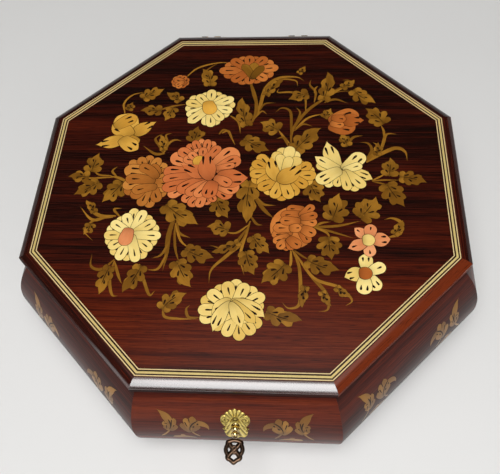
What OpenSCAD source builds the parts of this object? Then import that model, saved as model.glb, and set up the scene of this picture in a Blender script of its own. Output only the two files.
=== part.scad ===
// Eight-sided inlaid box with a hinged lid, a box lock and its key.
// Millimetres, +Z up, origin at the centre of the felt foot, the lock faces -Y.
// Each facet is drawn with its outward normal along local +X and its length along local Y.

/* [Lid] */
// Width of the lid across two opposite edges
lid_across = 280; // [268:1:300]
// Depth of the lid's moulded edge
lid_edge_h = 7; // [6.6:0.1:9]
// Width of the rounded border outside the banding
border_w = 6.25; // [5.5:0.25:8]
// How far the border rounds down before its vertical edge
border_drop = 2.2; // [1:0.1:3]
// Thickness of the lid's veneer, banding and marquetry
veneer_t = 0.7; // [0.5:0.1:1]
// How far the lid's edge stands out past the rim of the walls
lid_overhang = 7; // [6:0.25:9]
// Gap between the closed lid and the rim
lid_gap = 0.3; // [0.2:0.05:0.5]

/* [Banding] */
// Width of the two pale lines at the edges of the banding
line_pale_w = 0.9; // [0.6:0.1:1.4]
// Width of the two dark lines between the pale ones
line_dark_w = 0.7; // [0.4:0.1:1.2]
// Width of the middle pale line
line_middle_w = 1.7; // [1:0.1:2.6]

/* [Marquetry] */
// Outline size of the flowers, as a share of their drawn size
flower_scale = 1; // [0.8:0.05:1.1]
// Width of a leaf across its middle
leaf_w = 6; // [4:0.5:7]
// Thickness of the inlays let into the walls
wall_inlay_t = 0.8; // [0.5:0.1:1.2]
// Height of the leaf pairs on the walls above the foot
wall_leaf_z = 47; // [44:0.5:50]

/* [Walls] */
// Height of the box from its foot to the rim
rim_z = 78.7; // [76:0.1:88]
// How far the belly of the walls stands out past the rim
belly_out = 19.4; // [16:0.2:22]
// Height of the widest part of the belly
belly_z = 33.1; // [30:0.1:36]
// Thickness of the walls at the rim
rim_t = 8.5; // [8.2:0.1:10]

/* [Base] */
// Thickness of the felt under the base
felt_t = 1; // [0.6:0.1:2]
// How far the felt stays inside the foot of the walls
felt_inset = 2.5; // [1:0.5:5]
// Thickness of the base panel
base_t = 5; // [4:0.5:7]
// How deep the base panel is let into the walls
base_lap = 5.5; // [4:0.5:7]
// Radius of the brads that hold the base
brad_r = 0.6; // [0.4:0.1:0.8]
// Length of the brads
brad_len = 13; // [10:1:18]

/* [Lining] */
// Thickness of the velvet on its card
lining_t = 1.6; // [1.2:0.1:1.8]
// Thickness of the padded floor
floor_pad_t = 2; // [1.5:0.5:4]
// Distance from the rim down to the wall lining
lining_drop = 4.7; // [3:0.1:8]
// Gap between the lid's lining and the inside of the walls
lid_lining_gap = 3.5; // [2:0.5:6]

/* [Hinges] */
// Distance of each hinge from the middle of the back
hinge_offset = 34; // [30:1:36]
// Width of a hinge
hinge_w = 25; // [20:1:30]
// Thickness of the hinge leaves
hinge_leaf_t = 1; // [0.8:0.1:1.2]
// Radius of the hinge pin
hinge_pin_r = 1; // [0.8:0.05:1.2]
// Wall of the knuckles around the pin's bore
knuckle_wall = 1.15; // [1:0.05:1.4]
// Gap between the knuckle and the lid's back edge
knuckle_gap = 0.2; // [0.15:0.05:0.4]
// How far the lid opens
lid_open_deg = 100; // [95:1:110]
// Length of the hinge screws
hinge_screw_len = 4.2; // [3:0.2:5]
// Radius of the small screws' shanks
screw_r = 0.8; // [0.6:0.05:1]

/* [Lock] */
// Height of the keyhole above the foot
key_z = 52; // [50:0.5:54]
// Depth of the lock case let into the front wall
lock_depth = 6.5; // [6.4:0.05:6.6]
// Width of the lock case
lock_w = 44; // [42:1:48]
// Distance from the keyhole down to the case's lower edge
lock_below_key = 9; // [8.5:0.25:11]
// Thickness of the lock's plates
plate_t = 1; // [0.8:0.1:1.2]
// Thickness of the bolt plate
bolt_t = 2; // [1.6:0.1:2.2]
// Sideways travel of the bolt for a quarter turn of the key
bolt_travel = 6; // [5:0.5:6.5]
// Distance of each staple of the lid plate from the middle
staple_y = 8; // [7.5:0.25:8.5]
// Width of a staple along the bolt
staple_w = 3; // [2.5:0.25:3.5]

/* [Key] */
// Radius of the key's hollow shank
shank_r = 1.9; // [1.7:0.05:2]
// Radius of the drill pin in the lock that the shank turns on
drill_pin_r = 0.85; // [0.7:0.05:1]
// Reach of the key's bit from its axis
bit_reach = 4.8; // [4.5:0.1:5]
// Thickness of the bit
bit_t = 1.6; // [1.2:0.1:1.8]
// Length of the bow
bow_len = 15; // [12:0.5:18]
// Width of the bow
bow_w = 12.5; // [10:0.5:15]
// Thickness of the bow
bow_t = 2.2; // [1.6:0.1:3]

/* [Escutcheon] */
// Width of the escutcheon across its scrolls
scutcheon_w = 17.5; // [15:0.5:20]
// Height of the escutcheon
scutcheon_h = 29; // [26:0.5:32]
// Thickness of the escutcheon
scutcheon_t = 1.1; // [0.8:0.1:1.5]
// How far its middle lies from the keyhole, downwards
scutcheon_low = 1.5; // [0:0.5:3]

/* [Fits] */
// Radial clearance of a pin or shank in its bore
run_gap = 0.05; // [0.02:0.01:0.1]
// Clearance of sliding and seated metal parts
slide_gap = 0.2; // [0.1:0.05:0.3]
// Gap left behind pieces that follow the curved wall
curve_gap = 0.05; // [0.02:0.01:0.1]
// Width of the glue line between two mitred pieces
glue_line = 0.03; // [0.01:0.01:0.1]

/* [Hidden] */
$fn = 96;
eps = 0.01;
sides = 8;
turn = 360 / sides;
half_turn = turn / 2;

FACETS = ["front", "front_right", "right", "back_right", "back", "back_left", "left", "front_left"];

// Lid
lid_a = lid_across / 2;
lid_z0 = rim_z + lid_gap;
lid_z1 = lid_z0 + lid_edge_h;
border_a = lid_a - border_w;
banding_w = 2 * line_pale_w + 2 * line_dark_w + line_middle_w;
ground_a = border_a - banding_w;
veneer_z = lid_z1 - veneer_t;
border_r = (border_w * border_w + border_drop * border_drop) / (2 * border_drop);

// Walls: the outside is an arc through the rim and the belly
rim_a = lid_a - lid_overhang;
belly_a = rim_a + belly_out;
belly_rise = rim_z - belly_z;
wall_r = (belly_out * belly_out + belly_rise * belly_rise) / (2 * belly_out);
wall_cx = belly_a - wall_r;
inner_a = rim_a - rim_t;
far = lid_across;

// Base and lining
base_z1 = felt_t + base_t;
base_a = inner_a + base_lap;
foot_a = wall_cx + sqrt(wall_r * wall_r - (belly_z - felt_t) * (belly_z - felt_t));
felt_a = foot_a - felt_inset;
lining_a = inner_a - lining_t;
lining_z1 = rim_z - lining_drop;
brad_a = inner_a + base_lap / 2;

// Hinges: the axis lies just behind the lid's back edge, level with the joint
knuckle_r = hinge_pin_r + run_gap + knuckle_wall;
hinge_x = lid_a + knuckle_gap + knuckle_r;
hinge_z = rim_z + lid_gap / 2;
leaf_x0 = inner_a + rim_t / 6;
leaf_end = hinge_x - knuckle_r - 3 * knuckle_gap;
knuckles = 5;
knuckle_len = hinge_w / knuckles;
knuckle_play = 0.15;
hinge_screw_x = inner_a + rim_t / 2;
stop_t = 1.2;
stop_reach = knuckle_r + stop_t;
hinge_screws_y = [-hinge_w / 3, 0, hinge_w / 3];

// Lock
case_x1 = inner_a + lock_depth;
case_z0 = key_z - lock_below_key;
cover_lip = 5;
cover_w = lock_w + 2 * cover_lip;
bolt_x = inner_a + plate_t + (lock_depth - 2 * plate_t) / 2;
staple_side = 1;
staple_x_t = bolt_t + 2 * staple_side;
eye_wall = 0.8;
eye_h = 4;
staple_drop = 8.5;
eye_z0 = lid_z0 - staple_drop + 1;
finger_h = eye_h - 4 * slide_gap;
finger_z0 = eye_z0 + 2 * slide_gap;
finger_back = staple_w / 2 + bolt_travel + 2 * slide_gap;
finger_tip = staple_w / 2 + 3 * slide_gap;
stem_w = 3.1;
top_bar_z1 = lid_z0 - staple_drop - 4 * slide_gap;
top_bar_h = 3.5;
bolt_z0 = case_z0 + plate_t + slide_gap;
shoulder_h = 8;
bolt_shoulder_z = key_z + shoulder_h;
window_r = bit_reach + 0.5;
window_floor = bit_reach - 0.9;
notch_half = bit_t / 2 + 0.75;
bolt_side = 2.7;
bolt_y0 = -bolt_travel - window_r - bolt_side;
bolt_y1 = window_r + bolt_side;
spring_gap = 2;
spring_tail = 8;
spring_t = 0.5;
spring_r = 30;
link_t = 1.2;
link_w = 40;
link_x0 = inner_a - 0.5;
link_x1 = case_x1 + 0.5;
link_screw_y = 15.5;
cover_screw_y = lock_w / 2 + cover_lip / 2;
cover_screw_low = 5;
cover_screw_high = 8;
small_screw_len = 5;
head_k = 1.9;

// Key: the shank reaches from the lock to the collar outside the escutcheon
key_face = wall_cx + sqrt(wall_r * wall_r - (key_z - belly_z) * (key_z - belly_z));
key_x0 = inner_a + plate_t + 2 * slide_gap;
collar_r = 2.3;
collar_x = key_face + scutcheon_t + slide_gap + collar_r;
baluster_r = 1.7;
baluster_len = 2.8;
neck_len = 1.8;
bow_x0 = collar_x + collar_r + neck_len;
bit_x0 = key_x0 + 0.2;
bit_x1 = bolt_x + bolt_t / 2 + slide_gap;
drill_pin_len = 9;
keyhole_r = shank_r + slide_gap;
keyslot_half = bit_t / 2 + slide_gap;
keyslot_drop = bit_reach + slide_gap;
scutcheon_z = key_z - scutcheon_low;
scutcheon_pin_top = 4.5;
scutcheon_pin_low = 2.5;
scutcheon_pins_z = [scutcheon_z + scutcheon_h / 2 - scutcheon_pin_top,
    scutcheon_z - scutcheon_h / 2 + scutcheon_pin_low];
scutcheon_pin_r = 0.55;
scutcheon_pin_len = 6;

// Flowers on the lid: [x, y, radius, petals]
FLOWERS = [
    [-30, 7, 23, 9], [24, 9, 20, 7], [64, 14, 18, 6], [-28, 66, 17, 7], [-86, 44, 19, 5],
    [-1, 102, 19, 5], [-69, 1, 14, 6], [-70, -42, 19, 12], [33, -34, 18, 7], [79, -42, 11, 5],
    [75, -67, 12, 5], [-2, -91, 22, 9], [67, 54, 12, 5], [-52, 91, 7, 4]];
// Leaves on the lid: [x, y, length, direction in degrees]
LEAVES = [
    [-33, 95, 18, 110], [-71, 79, 17, 35], [-55, 76, 14, 140], [-70, 63, 14, 180], [-57, 60, 13, 250],
    [-103, 17, 18, 85], [-112, 4, 14, 180], [-36, 41, 14, 80], [-105, -6, 18, 220], [-88, -9, 18, 235],
    [-98, -24, 22, 140], [-98, -38, 16, 250], [-42, -26, 24, 330], [-13, -20, 14, 315], [-14, -37, 14, 170],
    [-28, -53, 18, 350], [-34, -68, 20, 300], [-39, -86, 16, 40], [-83, -74, 18, 255], [-65, -72, 20, 250],
    [-3, 62, 26, 100], [4, 31, 18, 330], [15, 48, 15, 150], [41, 36, 24, 50], [55, 86, 26, 80],
    [35, 77, 14, 200], [36, 102, 10, 50], [70, 88, 12, 40], [81, 76, 19, 320], [88, 57, 17, 120],
    [67, 37, 14, 110], [92, 24, 20, 20], [95, 13, 16, 100], [109, 2, 18, 350], [97, -9, 17, 300],
    [46, -8, 14, 290], [59, -19, 20, 80], [79, -19, 20, 50], [55, -49, 16, 270], [50, -61, 20, 350],
    [21, -68, 20, 230], [12, -47, 16, 310], [6, -60, 16, 290], [39, -83, 14, 260], [27, -95, 20, 345],
    [97, -34, 14, 70], [3, -18, 24, 270], [-9, -48, 18, 200], [-16, -66, 14, 240], [52, -88, 14, 290],
    [64, -84, 12, 320], [17, 85, 20, 60], [-58, 33, 14, 120]];
// Leaf pairs on a wall: [distance from the middle, height above the pair's middle, length, tilt]
WALL_LEAVES = [[24, 0, 24, 40], [41.5, 1, 29, 70]];

module facet(k) {
    rotate([0, 0, turn * k - 90]) children();
}

module octagon(apothem) {
    circle(r = apothem / cos(half_turn), $fn = sides);
}

// A flat eight-sided board from z0 to z1
module board(apothem, z0, z1) {
    translate([0, 0, z0]) rotate([0, 0, half_turn]) linear_extrude(z1 - z0) octagon(apothem);
}

// Everything between the two mitre planes of a facet, less half a glue line at each
module mitre_wedge() {
    half = far * tan(half_turn);
    translate([glue_line / (2 * sin(half_turn)), 0, -far])
        linear_extrude(2 * far) polygon([[0, 0], [far, -half], [far, half]]);
}

// Carries a profile, drawn in local X and Z, along the facet
module along(length) {
    rotate([90, 0, 0]) linear_extrude(length, center = true) children();
}

// Pushes an outline, drawn in local Y and Z, outwards from x0 to x1
module outwards(x0, x1) {
    translate([x0, 0, 0]) rotate([90, 0, 90]) linear_extrude(x1 - x0) children();
}

// The ring between two radii about the centre line of the belly's arc
module belly_shell(inside, outside) {
    along(far) translate([wall_cx, belly_z]) difference() {
        circle(wall_r + outside);
        circle(wall_r + inside);
    }
}

module wall_profile() {
    intersection() {
        translate([wall_cx, belly_z]) circle(wall_r);
        difference() {
            translate([inner_a, felt_t]) square([far, rim_z - felt_t]);
            translate([inner_a - eps, 0]) square([base_lap + eps, base_z1]);
        }
    }
}

module wall_blank() {
    intersection() {
        along(far) wall_profile();
        mitre_wedge();
    }
}

module brad() {
    translate([brad_a, 0, felt_t]) cylinder(r = brad_r, h = brad_len);
}

// A pointed leaf along local X, from two arcs
module leaf(length, width) {
    r = (length * length + width * width) / (4 * width);
    intersection() {
        translate([0, r - width / 2]) circle(r);
        translate([0, width / 2 - r]) circle(r);
    }
}

module wall_leaf_outlines() {
    for (side = [-1, 1], l = WALL_LEAVES)
        translate([side * l[0], wall_leaf_z + l[1]]) rotate(side * l[3]) leaf(l[2], leaf_w);
}

module wall_leaves(depth, proud) {
    intersection() {
        outwards(rim_a, belly_a + belly_out) wall_leaf_outlines();
        belly_shell(-depth, proud);
    }
}

module flower(radius, petals) {
    petal_r = radius * sin(180 / petals) / (1 + sin(180 / petals)) * 1.15;
    circle(radius - petal_r);
    for (p = [0 : petals - 1])
        rotate(360 * p / petals) translate([radius - petal_r, 0]) circle(petal_r);
}

module flower_outlines() {
    for (f = FLOWERS) translate([f[0], f[1]]) flower(f[2] * flower_scale, f[3]);
}

module leaf_outlines() {
    difference() {
        intersection() {
            for (l = LEAVES) translate([l[0], l[1]]) rotate(l[3]) leaf(l[2], leaf_w);
            rotate(half_turn) octagon(ground_a - 2 * line_pale_w);
        }
        flower_outlines();
    }
}

// A countersunk screw whose head is flush with z = 0 and whose shank points along -Z
module screw(length) {
    mirror([0, 0, 1]) union() {
        cylinder(r1 = screw_r * head_k, r2 = screw_r, h = screw_r);
        cylinder(r = screw_r, h = length);
    }
}

module keyhole_outline() {
    circle(keyhole_r);
    translate([-keyslot_half, -keyslot_drop]) square([2 * keyslot_half, keyslot_drop]);
}

module scutcheon_pin_places() {
    for (z = scutcheon_pins_z) translate([0, z]) children();
}

// Hinges, drawn on the back facet with the axis at hinge_x, hinge_z

module at_hinges() {
    for (side = [-1, 1]) at_hinge(side) children();
}

// side is -1 for the hinge at -X and 1 for the one at +X
module at_hinge(side) {
    facet(4) translate([0, -side * hinge_offset, 0]) children();
}

module knuckle_spans(first) {
    for (i = [first : 2 : knuckles - 1])
        translate([0, (i + 0.5) * knuckle_len - hinge_w / 2, 0]) along(knuckle_len - knuckle_play) children();
}

module leaf_plate(z0) {
    translate([leaf_x0, z0]) square([leaf_end - leaf_x0, hinge_leaf_t]);
}

module knuckle_profile(z0) {
    difference() {
        union() {
            translate([hinge_x, hinge_z]) circle(knuckle_r);
            translate([leaf_x0, z0]) square([hinge_x - leaf_x0, hinge_leaf_t]);
        }
        translate([hinge_x, hinge_z]) circle(hinge_pin_r + run_gap);
    }
}

module stop_tail() {
    difference() {
        translate([hinge_x, hinge_z - stop_t / 2]) square([stop_reach, stop_t]);
        translate([hinge_x, hinge_z]) circle(hinge_pin_r + run_gap);
    }
}

// The lip that the lid leaf's tail meets when the lid is fully open
module stop_lip() {
    lip_x1 = hinge_x - stop_reach * cos(180 - lid_open_deg) - stop_t / 2 * sin(180 - lid_open_deg) - slide_gap;
    lip_x0 = leaf_end - hinge_leaf_t;
    lip_z0 = hinge_z - stop_reach;
    translate([lip_x0, lip_z0]) square([hinge_leaf_t, rim_z - lip_z0]);
    translate([lip_x0, lip_z0]) square([lip_x1 - lip_x0, hinge_leaf_t]);
}

module hinge_leaf(first, z0) {
    union() {
        along(hinge_w) leaf_plate(z0);
        knuckle_spans(first) knuckle_profile(z0);
    }
}

module hinge_screw_places() {
    for (y = hinge_screws_y) translate([hinge_screw_x, y, 0]) children();
}

module box_leaf_screws() {
    hinge_screw_places() translate([0, 0, rim_z]) screw(hinge_screw_len);
}

module lid_leaf_screws() {
    hinge_screw_places() translate([0, 0, lid_z0]) mirror([0, 0, 1]) screw(hinge_screw_len);
}

module box_leaf() {
    difference() {
        union() {
            hinge_leaf(0, rim_z - hinge_leaf_t);
            knuckle_spans(1) stop_lip();
        }
        box_leaf_screws();
    }
}

module lid_leaf() {
    difference() {
        union() {
            hinge_leaf(1, lid_z0);
            knuckle_spans(1) stop_tail();
        }
        lid_leaf_screws();
    }
}

module hinge_pin() {
    translate([hinge_x, 0, hinge_z]) rotate([90, 0, 0]) cylinder(r = hinge_pin_r, h = hinge_w, center = true);
}

module leaf_recess(z0) {
    translate([leaf_x0, -hinge_w / 2, z0]) cube([hinge_x, hinge_w, hinge_leaf_t]);
}

// Walls

module front_cuts() {
    translate([inner_a - eps, -lock_w / 2, case_z0]) cube([lock_depth + eps, lock_w, far]);
    translate([inner_a - eps, -cover_w / 2, case_z0]) cube([plate_t + eps, cover_w, far]);
    outwards(inner_a, far) translate([0, key_z]) keyhole_outline();
    outwards(key_face - scutcheon_pin_len, far) scutcheon_pin_places() circle(scutcheon_pin_r);
    cover_screws();
}

module back_cuts() {
    for (side = [-1, 1]) translate([0, -side * hinge_offset, 0]) {
        leaf_recess(rim_z - hinge_leaf_t);
        box_leaf_screws();
    }
}

module wall(k) {
    color("#5a2418") facet(k) difference() {
        wall_blank();
        wall_leaves(wall_inlay_t, 1);
        brad();
        if (k == 0) front_cuts();
        if (k == 4) back_cuts();
    }
}

module wall_inlays() {
    color("#8a6a2e") for (k = [0 : sides - 1]) facet(k) wall_leaves(wall_inlay_t, 0);
}

// Base and lining

module base_panel() {
    color("#7a5a38") difference() {
        board(base_a, felt_t, base_z1);
        for (k = [0 : sides - 1]) facet(k) brad();
    }
}

module base_felt() {
    color("#2f4a34") board(felt_a, 0, felt_t);
}

module base_brads() {
    color("#9a9a96") for (k = [0 : sides - 1]) facet(k) brad();
}

module lining_floor() {
    color("#7a1420") board(lining_a, base_z1, base_z1 + floor_pad_t);
}

module lining_walls() {
    color("#7a1420") for (k = [0 : sides - 1]) facet(k) difference() {
        intersection() {
            along(far) translate([lining_a, base_z1]) square([lining_t, lining_z1 - base_z1]);
            mitre_wedge();
        }
        if (k == 0)
            translate([0, -cover_w / 2 - 1, case_z0 - 1]) cube([far, cover_w + 2, far]);
    }
}

// Lock and escutcheon, drawn on the front facet

module on_front() {
    facet(0) children();
}

module cover_screws() {
    for (y = [-cover_screw_y, cover_screw_y], z = [case_z0 + cover_screw_low, rim_z - cover_screw_high])
        translate([inner_a, y, z]) rotate([0, -90, 0]) screw(small_screw_len);
}

module staple_slots() {
    for (y = [-staple_y, staple_y])
        translate([bolt_x - staple_x_t / 2 - slide_gap, y - staple_w / 2 - 2 * slide_gap, rim_z - 2 * plate_t])
            cube([staple_x_t + 2 * slide_gap, staple_w + 4 * slide_gap, far]);
}

module lock_case() {
    color("#b08d3c") on_front() difference() {
        translate([inner_a + plate_t, -lock_w / 2, case_z0])
            cube([lock_depth - plate_t, lock_w, rim_z - case_z0]);
        translate([inner_a, -lock_w / 2 + plate_t, case_z0 + plate_t])
            cube([lock_depth - plate_t, lock_w - 2 * plate_t, rim_z - case_z0 - 2.5 * plate_t]);
        staple_slots();
        outwards(inner_a, far) translate([0, key_z]) keyhole_outline();
    }
}

module lock_cover() {
    color("#b08d3c") on_front() difference() {
        translate([inner_a, -cover_w / 2, case_z0]) cube([plate_t, cover_w, rim_z - case_z0]);
        cover_screws();
        drill_pin();
    }
}

module drill_pin() {
    translate([inner_a, 0, key_z]) rotate([0, 90, 0]) cylinder(r = drill_pin_r, h = plate_t + drill_pin_len);
}

module lock_screws() {
    color("#c9a44a") on_front() cover_screws();
}

module lock_drill_pin() {
    color("#8c8c88") on_front() drill_pin();
}

// A leaf spring that arches down onto the bolt's shoulder from the case's right side
module lock_spring() {
    spring_y = bolt_y1 + spring_gap;
    color("#8c8c88") on_front() outwards(bolt_x - bolt_t / 2 + slide_gap, bolt_x + bolt_t / 2 - slide_gap)
        intersection() {
            translate([spring_y, bolt_shoulder_z + slide_gap + spring_r]) difference() {
                circle(spring_r);
                circle(spring_r - spring_t);
            }
            translate([spring_y - spring_tail, case_z0])
                square([lock_w / 2 - plate_t - spring_y + spring_tail, lock_w]);
        }
}

// The bolt plate: a window for the key's bit with a notch below, and a finger for each staple
module bolt_outline() {
    difference() {
        union() {
            translate([bolt_y0, bolt_z0]) square([bolt_y1 - bolt_y0, bolt_shoulder_z - bolt_z0]);
            translate([bolt_y0, bolt_z0]) square([2 * stem_w, top_bar_z1 - bolt_z0]);
            translate([-staple_y - finger_back - stem_w, top_bar_z1 - top_bar_h])
                square([2 * staple_y + stem_w, top_bar_h]);
            for (y = [-staple_y, staple_y]) {
                translate([y - finger_back - stem_w, top_bar_z1 - eps])
                    square([stem_w, finger_z0 + finger_h - top_bar_z1 + eps]);
                translate([y - finger_back - stem_w, finger_z0])
                    square([finger_back + stem_w - finger_tip, finger_h]);
            }
        }
        bolt_window();
    }
}

module bolt_window() {
    translate([0, key_z]) {
        intersection() {
            union() {
                circle(window_r);
                translate([-bolt_travel, 0]) circle(window_r);
                translate([-bolt_travel, -window_r]) square([bolt_travel, 2 * window_r]);
            }
            translate([-far / 2, -window_floor]) square(far);
        }
        translate([-notch_half, -bit_reach - slide_gap]) square([2 * notch_half, bit_reach]);
    }
}

module lock_bolt() {
    color("#b9b4a4") on_front() outwards(bolt_x - bolt_t / 2, bolt_x + bolt_t / 2) bolt_outline();
}

// Outline of the cast plate: a fanned crest, two scrolls and a leafy skirt
module scutcheon_outline() {
    h = scutcheon_h;
    w = scutcheon_w;
    translate([0, scutcheon_z]) {
        translate([0, h * 0.17]) for (a = [-60 : 20 : 60]) rotate(a) translate([0, h * 0.25]) circle(h * 0.075);
        translate([0, h * 0.17]) circle(h * 0.27);
        for (side = [-1, 1]) translate([side * (w / 2 - h * 0.14), h * 0.17]) circle(h * 0.14);
        translate([-w * 0.34, -h * 0.25]) square([w * 0.68, h * 0.5]);
        for (side = [-1, 1]) translate([side * w * 0.27, -h * 0.27]) circle(w * 0.13);
        translate([0, -h / 2 + w * 0.22]) circle(w * 0.22);
    }
}

module escutcheon() {
    color("#c8a84e") on_front() difference() {
        intersection() {
            outwards(rim_a, belly_a + belly_out) scutcheon_outline();
            belly_shell(curve_gap, scutcheon_t);
        }
        outwards(inner_a, far) translate([0, key_z]) keyhole_outline();
        outwards(inner_a, far) scutcheon_pin_places() circle(scutcheon_pin_r);
    }
}

module escutcheon_pins() {
    color("#d8bc66") on_front() intersection() {
        outwards(key_face - scutcheon_pin_len, far) scutcheon_pin_places() circle(scutcheon_pin_r);
        belly_shell(-scutcheon_pin_len, scutcheon_t + 0.3);
    }
}

// Key, drawn on the front facet with its axis along local X at key_z

module on_key_axis() {
    facet(0) translate([0, 0, key_z]) rotate([0, 90, 0]) children();
}

module key_shank() {
    color("#6b4f30") difference() {
        union() {
            on_key_axis() translate([0, 0, key_x0]) cylinder(r = shank_r, h = collar_x - key_x0);
            on_key_axis() translate([0, 0, collar_x]) sphere(collar_r);
            on_key_axis() translate([0, 0, collar_x]) cylinder(r = baluster_r * 0.7, h = bow_x0 - collar_x);
            on_key_axis() translate([0, 0, bow_x0 - baluster_len / 2]) sphere(baluster_r);
            on_front() translate([bit_x0, -bit_t / 2, key_z - bit_reach])
                cube([bit_x1 - bit_x0, bit_t, bit_reach]);
        }
        on_key_axis() translate([0, 0, key_x0 - eps])
            cylinder(r = drill_pin_r + run_gap, h = inner_a + plate_t + drill_pin_len + 2 * slide_gap - key_x0);
    }
}

// The flat openwork bow: a lobed outline with five openings
module bow_outline() {
    lobe_r = bow_w * 0.2;
    mid = bow_len / 2;
    difference() {
        union() {
            translate([mid, 0]) circle(bow_w * 0.36);
            translate([lobe_r, 0]) circle(lobe_r);
            translate([bow_len - lobe_r, 0]) circle(lobe_r);
            for (side = [-1, 1], along_x = [0.27, 0.5, 0.73]) {
                reach = along_x == 0.5 ? bow_w / 2 : bow_w * 0.42;
                translate([bow_len * along_x, side * (reach - lobe_r)]) circle(lobe_r);
            }
        }
        for (x = [0.24, 0.76]) translate([bow_len * x, 0]) circle(bow_w * 0.1);
        for (side = [-1, 1]) translate([mid, side * bow_w * 0.27]) circle(bow_w * 0.11);
        translate([mid, 0]) circle(bow_w * 0.07);
    }
}

module key_bow() {
    color("#6b4f30") on_front() difference() {
        translate([bow_x0, 0, key_z - bow_t / 2]) linear_extrude(bow_t) bow_outline();
        translate([bow_x0 - baluster_len / 2, 0, key_z]) sphere(baluster_r);
    }
}

// Lid

module border_profile() {
    arris_z = lid_z1 - border_drop;
    translate([border_a, lid_z0]) square([border_w, arris_z - lid_z0]);
    intersection() {
        translate([border_a, lid_z1 - border_r]) circle(border_r);
        translate([border_a, arris_z - eps]) square([border_w, border_drop + 1]);
    }
}

module lid_edge(k) {
    color("#4a1c12") facet(k) difference() {
        intersection() {
            along(far) border_profile();
            mitre_wedge();
        }
        if (k == 4) for (side = [-1, 1]) translate([0, -side * hinge_offset, 0]) leaf_recess(lid_z0);
    }
}

module link_plate_blank() {
    translate([link_x0, -link_w / 2, lid_z0]) cube([link_x1 - link_x0, link_w, link_t]);
}

module link_plate_screws() {
    for (y = [-link_screw_y, link_screw_y])
        translate([bolt_x, y, lid_z0]) mirror([0, 0, 1]) screw(hinge_screw_len);
}

module lid_core() {
    color("#6a4428") difference() {
        board(border_a, lid_z0, veneer_z);
        facet(4) for (side = [-1, 1]) translate([0, -side * hinge_offset, 0]) {
            leaf_recess(lid_z0);
            lid_leaf_screws();
        }
        on_front() link_plate_blank();
        on_front() link_plate_screws();
    }
}

module lid_veneer() {
    color("#4a1a10") translate([0, 0, veneer_z]) linear_extrude(veneer_t) difference() {
        rotate(half_turn) octagon(ground_a);
        flower_outlines();
        leaf_outlines();
    }
}

module flower_inlays() {
    color("#e0bd70") translate([0, 0, veneer_z]) linear_extrude(veneer_t) flower_outlines();
}

module leaf_inlays() {
    color("#8a6a2e") translate([0, 0, veneer_z]) linear_extrude(veneer_t) leaf_outlines();
}

// Mitred strips of one banding line, from apothem a to a + width
module banding_line(a, width) {
    for (k = [0 : sides - 1]) facet(k) intersection() {
        along(far) translate([a, veneer_z]) square([width, veneer_t]);
        mitre_wedge();
    }
}

module banding_pale() {
    color("#ead7a0") {
        banding_line(ground_a, line_pale_w);
        banding_line(ground_a + line_pale_w + line_dark_w, line_middle_w);
        banding_line(border_a - line_pale_w, line_pale_w);
    }
}

module banding_dark() {
    color("#3a2010") {
        banding_line(ground_a + line_pale_w, line_dark_w);
        banding_line(border_a - line_pale_w - line_dark_w, line_dark_w);
    }
}

module lid_lining() {
    color("#7a1420") board(inner_a - lid_lining_gap, lid_z0 - lining_t, lid_z0);
}

// The lid's lock plate, with a staple for each finger of the bolt
module link_plate() {
    color("#b08d3c") on_front() difference() {
        union() {
            link_plate_blank();
            for (y = [-staple_y, staple_y])
                translate([bolt_x - staple_x_t / 2, y - staple_w / 2, lid_z0 - staple_drop])
                    cube([staple_x_t, staple_w, staple_drop + link_t]);
        }
        translate([bolt_x - staple_x_t / 2 + eye_wall, -link_w / 2, eye_z0])
            cube([staple_x_t - 2 * eye_wall, link_w, eye_h]);
        link_plate_screws();
    }
}

module link_screws() {
    color("#c9a44a") on_front() link_plate_screws();
}

for (k = [0 : sides - 1]) {
    wall(k);
    lid_edge(k);
}
base_panel();
base_felt();
base_brads();
lining_floor();
lining_walls();
wall_inlays();
escutcheon();
escutcheon_pins();
lock_case();
lock_cover();
lock_screws();
lock_drill_pin();
lock_spring();
lock_bolt();
key_shank();
key_bow();
color("#b08d3c") at_hinge(-1) box_leaf();  // hinge_box_leaf_left
color("#b08d3c") at_hinge(1) box_leaf();  // hinge_box_leaf_right
color("#b08d3c") at_hinge(-1) lid_leaf();  // hinge_lid_leaf_left
color("#b08d3c") at_hinge(1) lid_leaf();  // hinge_lid_leaf_right
color("#8c8c88") at_hinge(-1) hinge_pin();  // hinge_pin_left
color("#8c8c88") at_hinge(1) hinge_pin();  // hinge_pin_right
color("#c9a44a") at_hinges() box_leaf_screws();  // hinge_box_screws
color("#c9a44a") at_hinges() lid_leaf_screws();  // hinge_lid_screws
lid_core();
lid_veneer();
banding_pale();
banding_dark();
flower_inlays();
leaf_inlays();
lid_lining();
link_plate();
link_screws();
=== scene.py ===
import math

import bmesh
import bpy
import numpy as np
from mathutils import Matrix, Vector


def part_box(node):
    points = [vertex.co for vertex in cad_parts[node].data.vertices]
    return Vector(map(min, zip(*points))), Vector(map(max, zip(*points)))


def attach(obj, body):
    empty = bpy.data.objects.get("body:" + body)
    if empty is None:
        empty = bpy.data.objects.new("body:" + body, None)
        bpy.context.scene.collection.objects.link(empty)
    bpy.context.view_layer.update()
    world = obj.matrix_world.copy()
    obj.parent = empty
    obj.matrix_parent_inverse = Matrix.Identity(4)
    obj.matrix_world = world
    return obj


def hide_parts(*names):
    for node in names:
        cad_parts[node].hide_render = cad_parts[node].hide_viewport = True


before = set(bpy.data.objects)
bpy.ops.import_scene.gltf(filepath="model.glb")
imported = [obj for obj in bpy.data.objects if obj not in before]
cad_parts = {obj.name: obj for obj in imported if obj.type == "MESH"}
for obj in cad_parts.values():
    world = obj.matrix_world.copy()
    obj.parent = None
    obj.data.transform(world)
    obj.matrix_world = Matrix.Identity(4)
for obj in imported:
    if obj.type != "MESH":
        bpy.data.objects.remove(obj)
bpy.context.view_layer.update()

# Camera: looking down on the lid from the front, a little to the right of the key.

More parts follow.
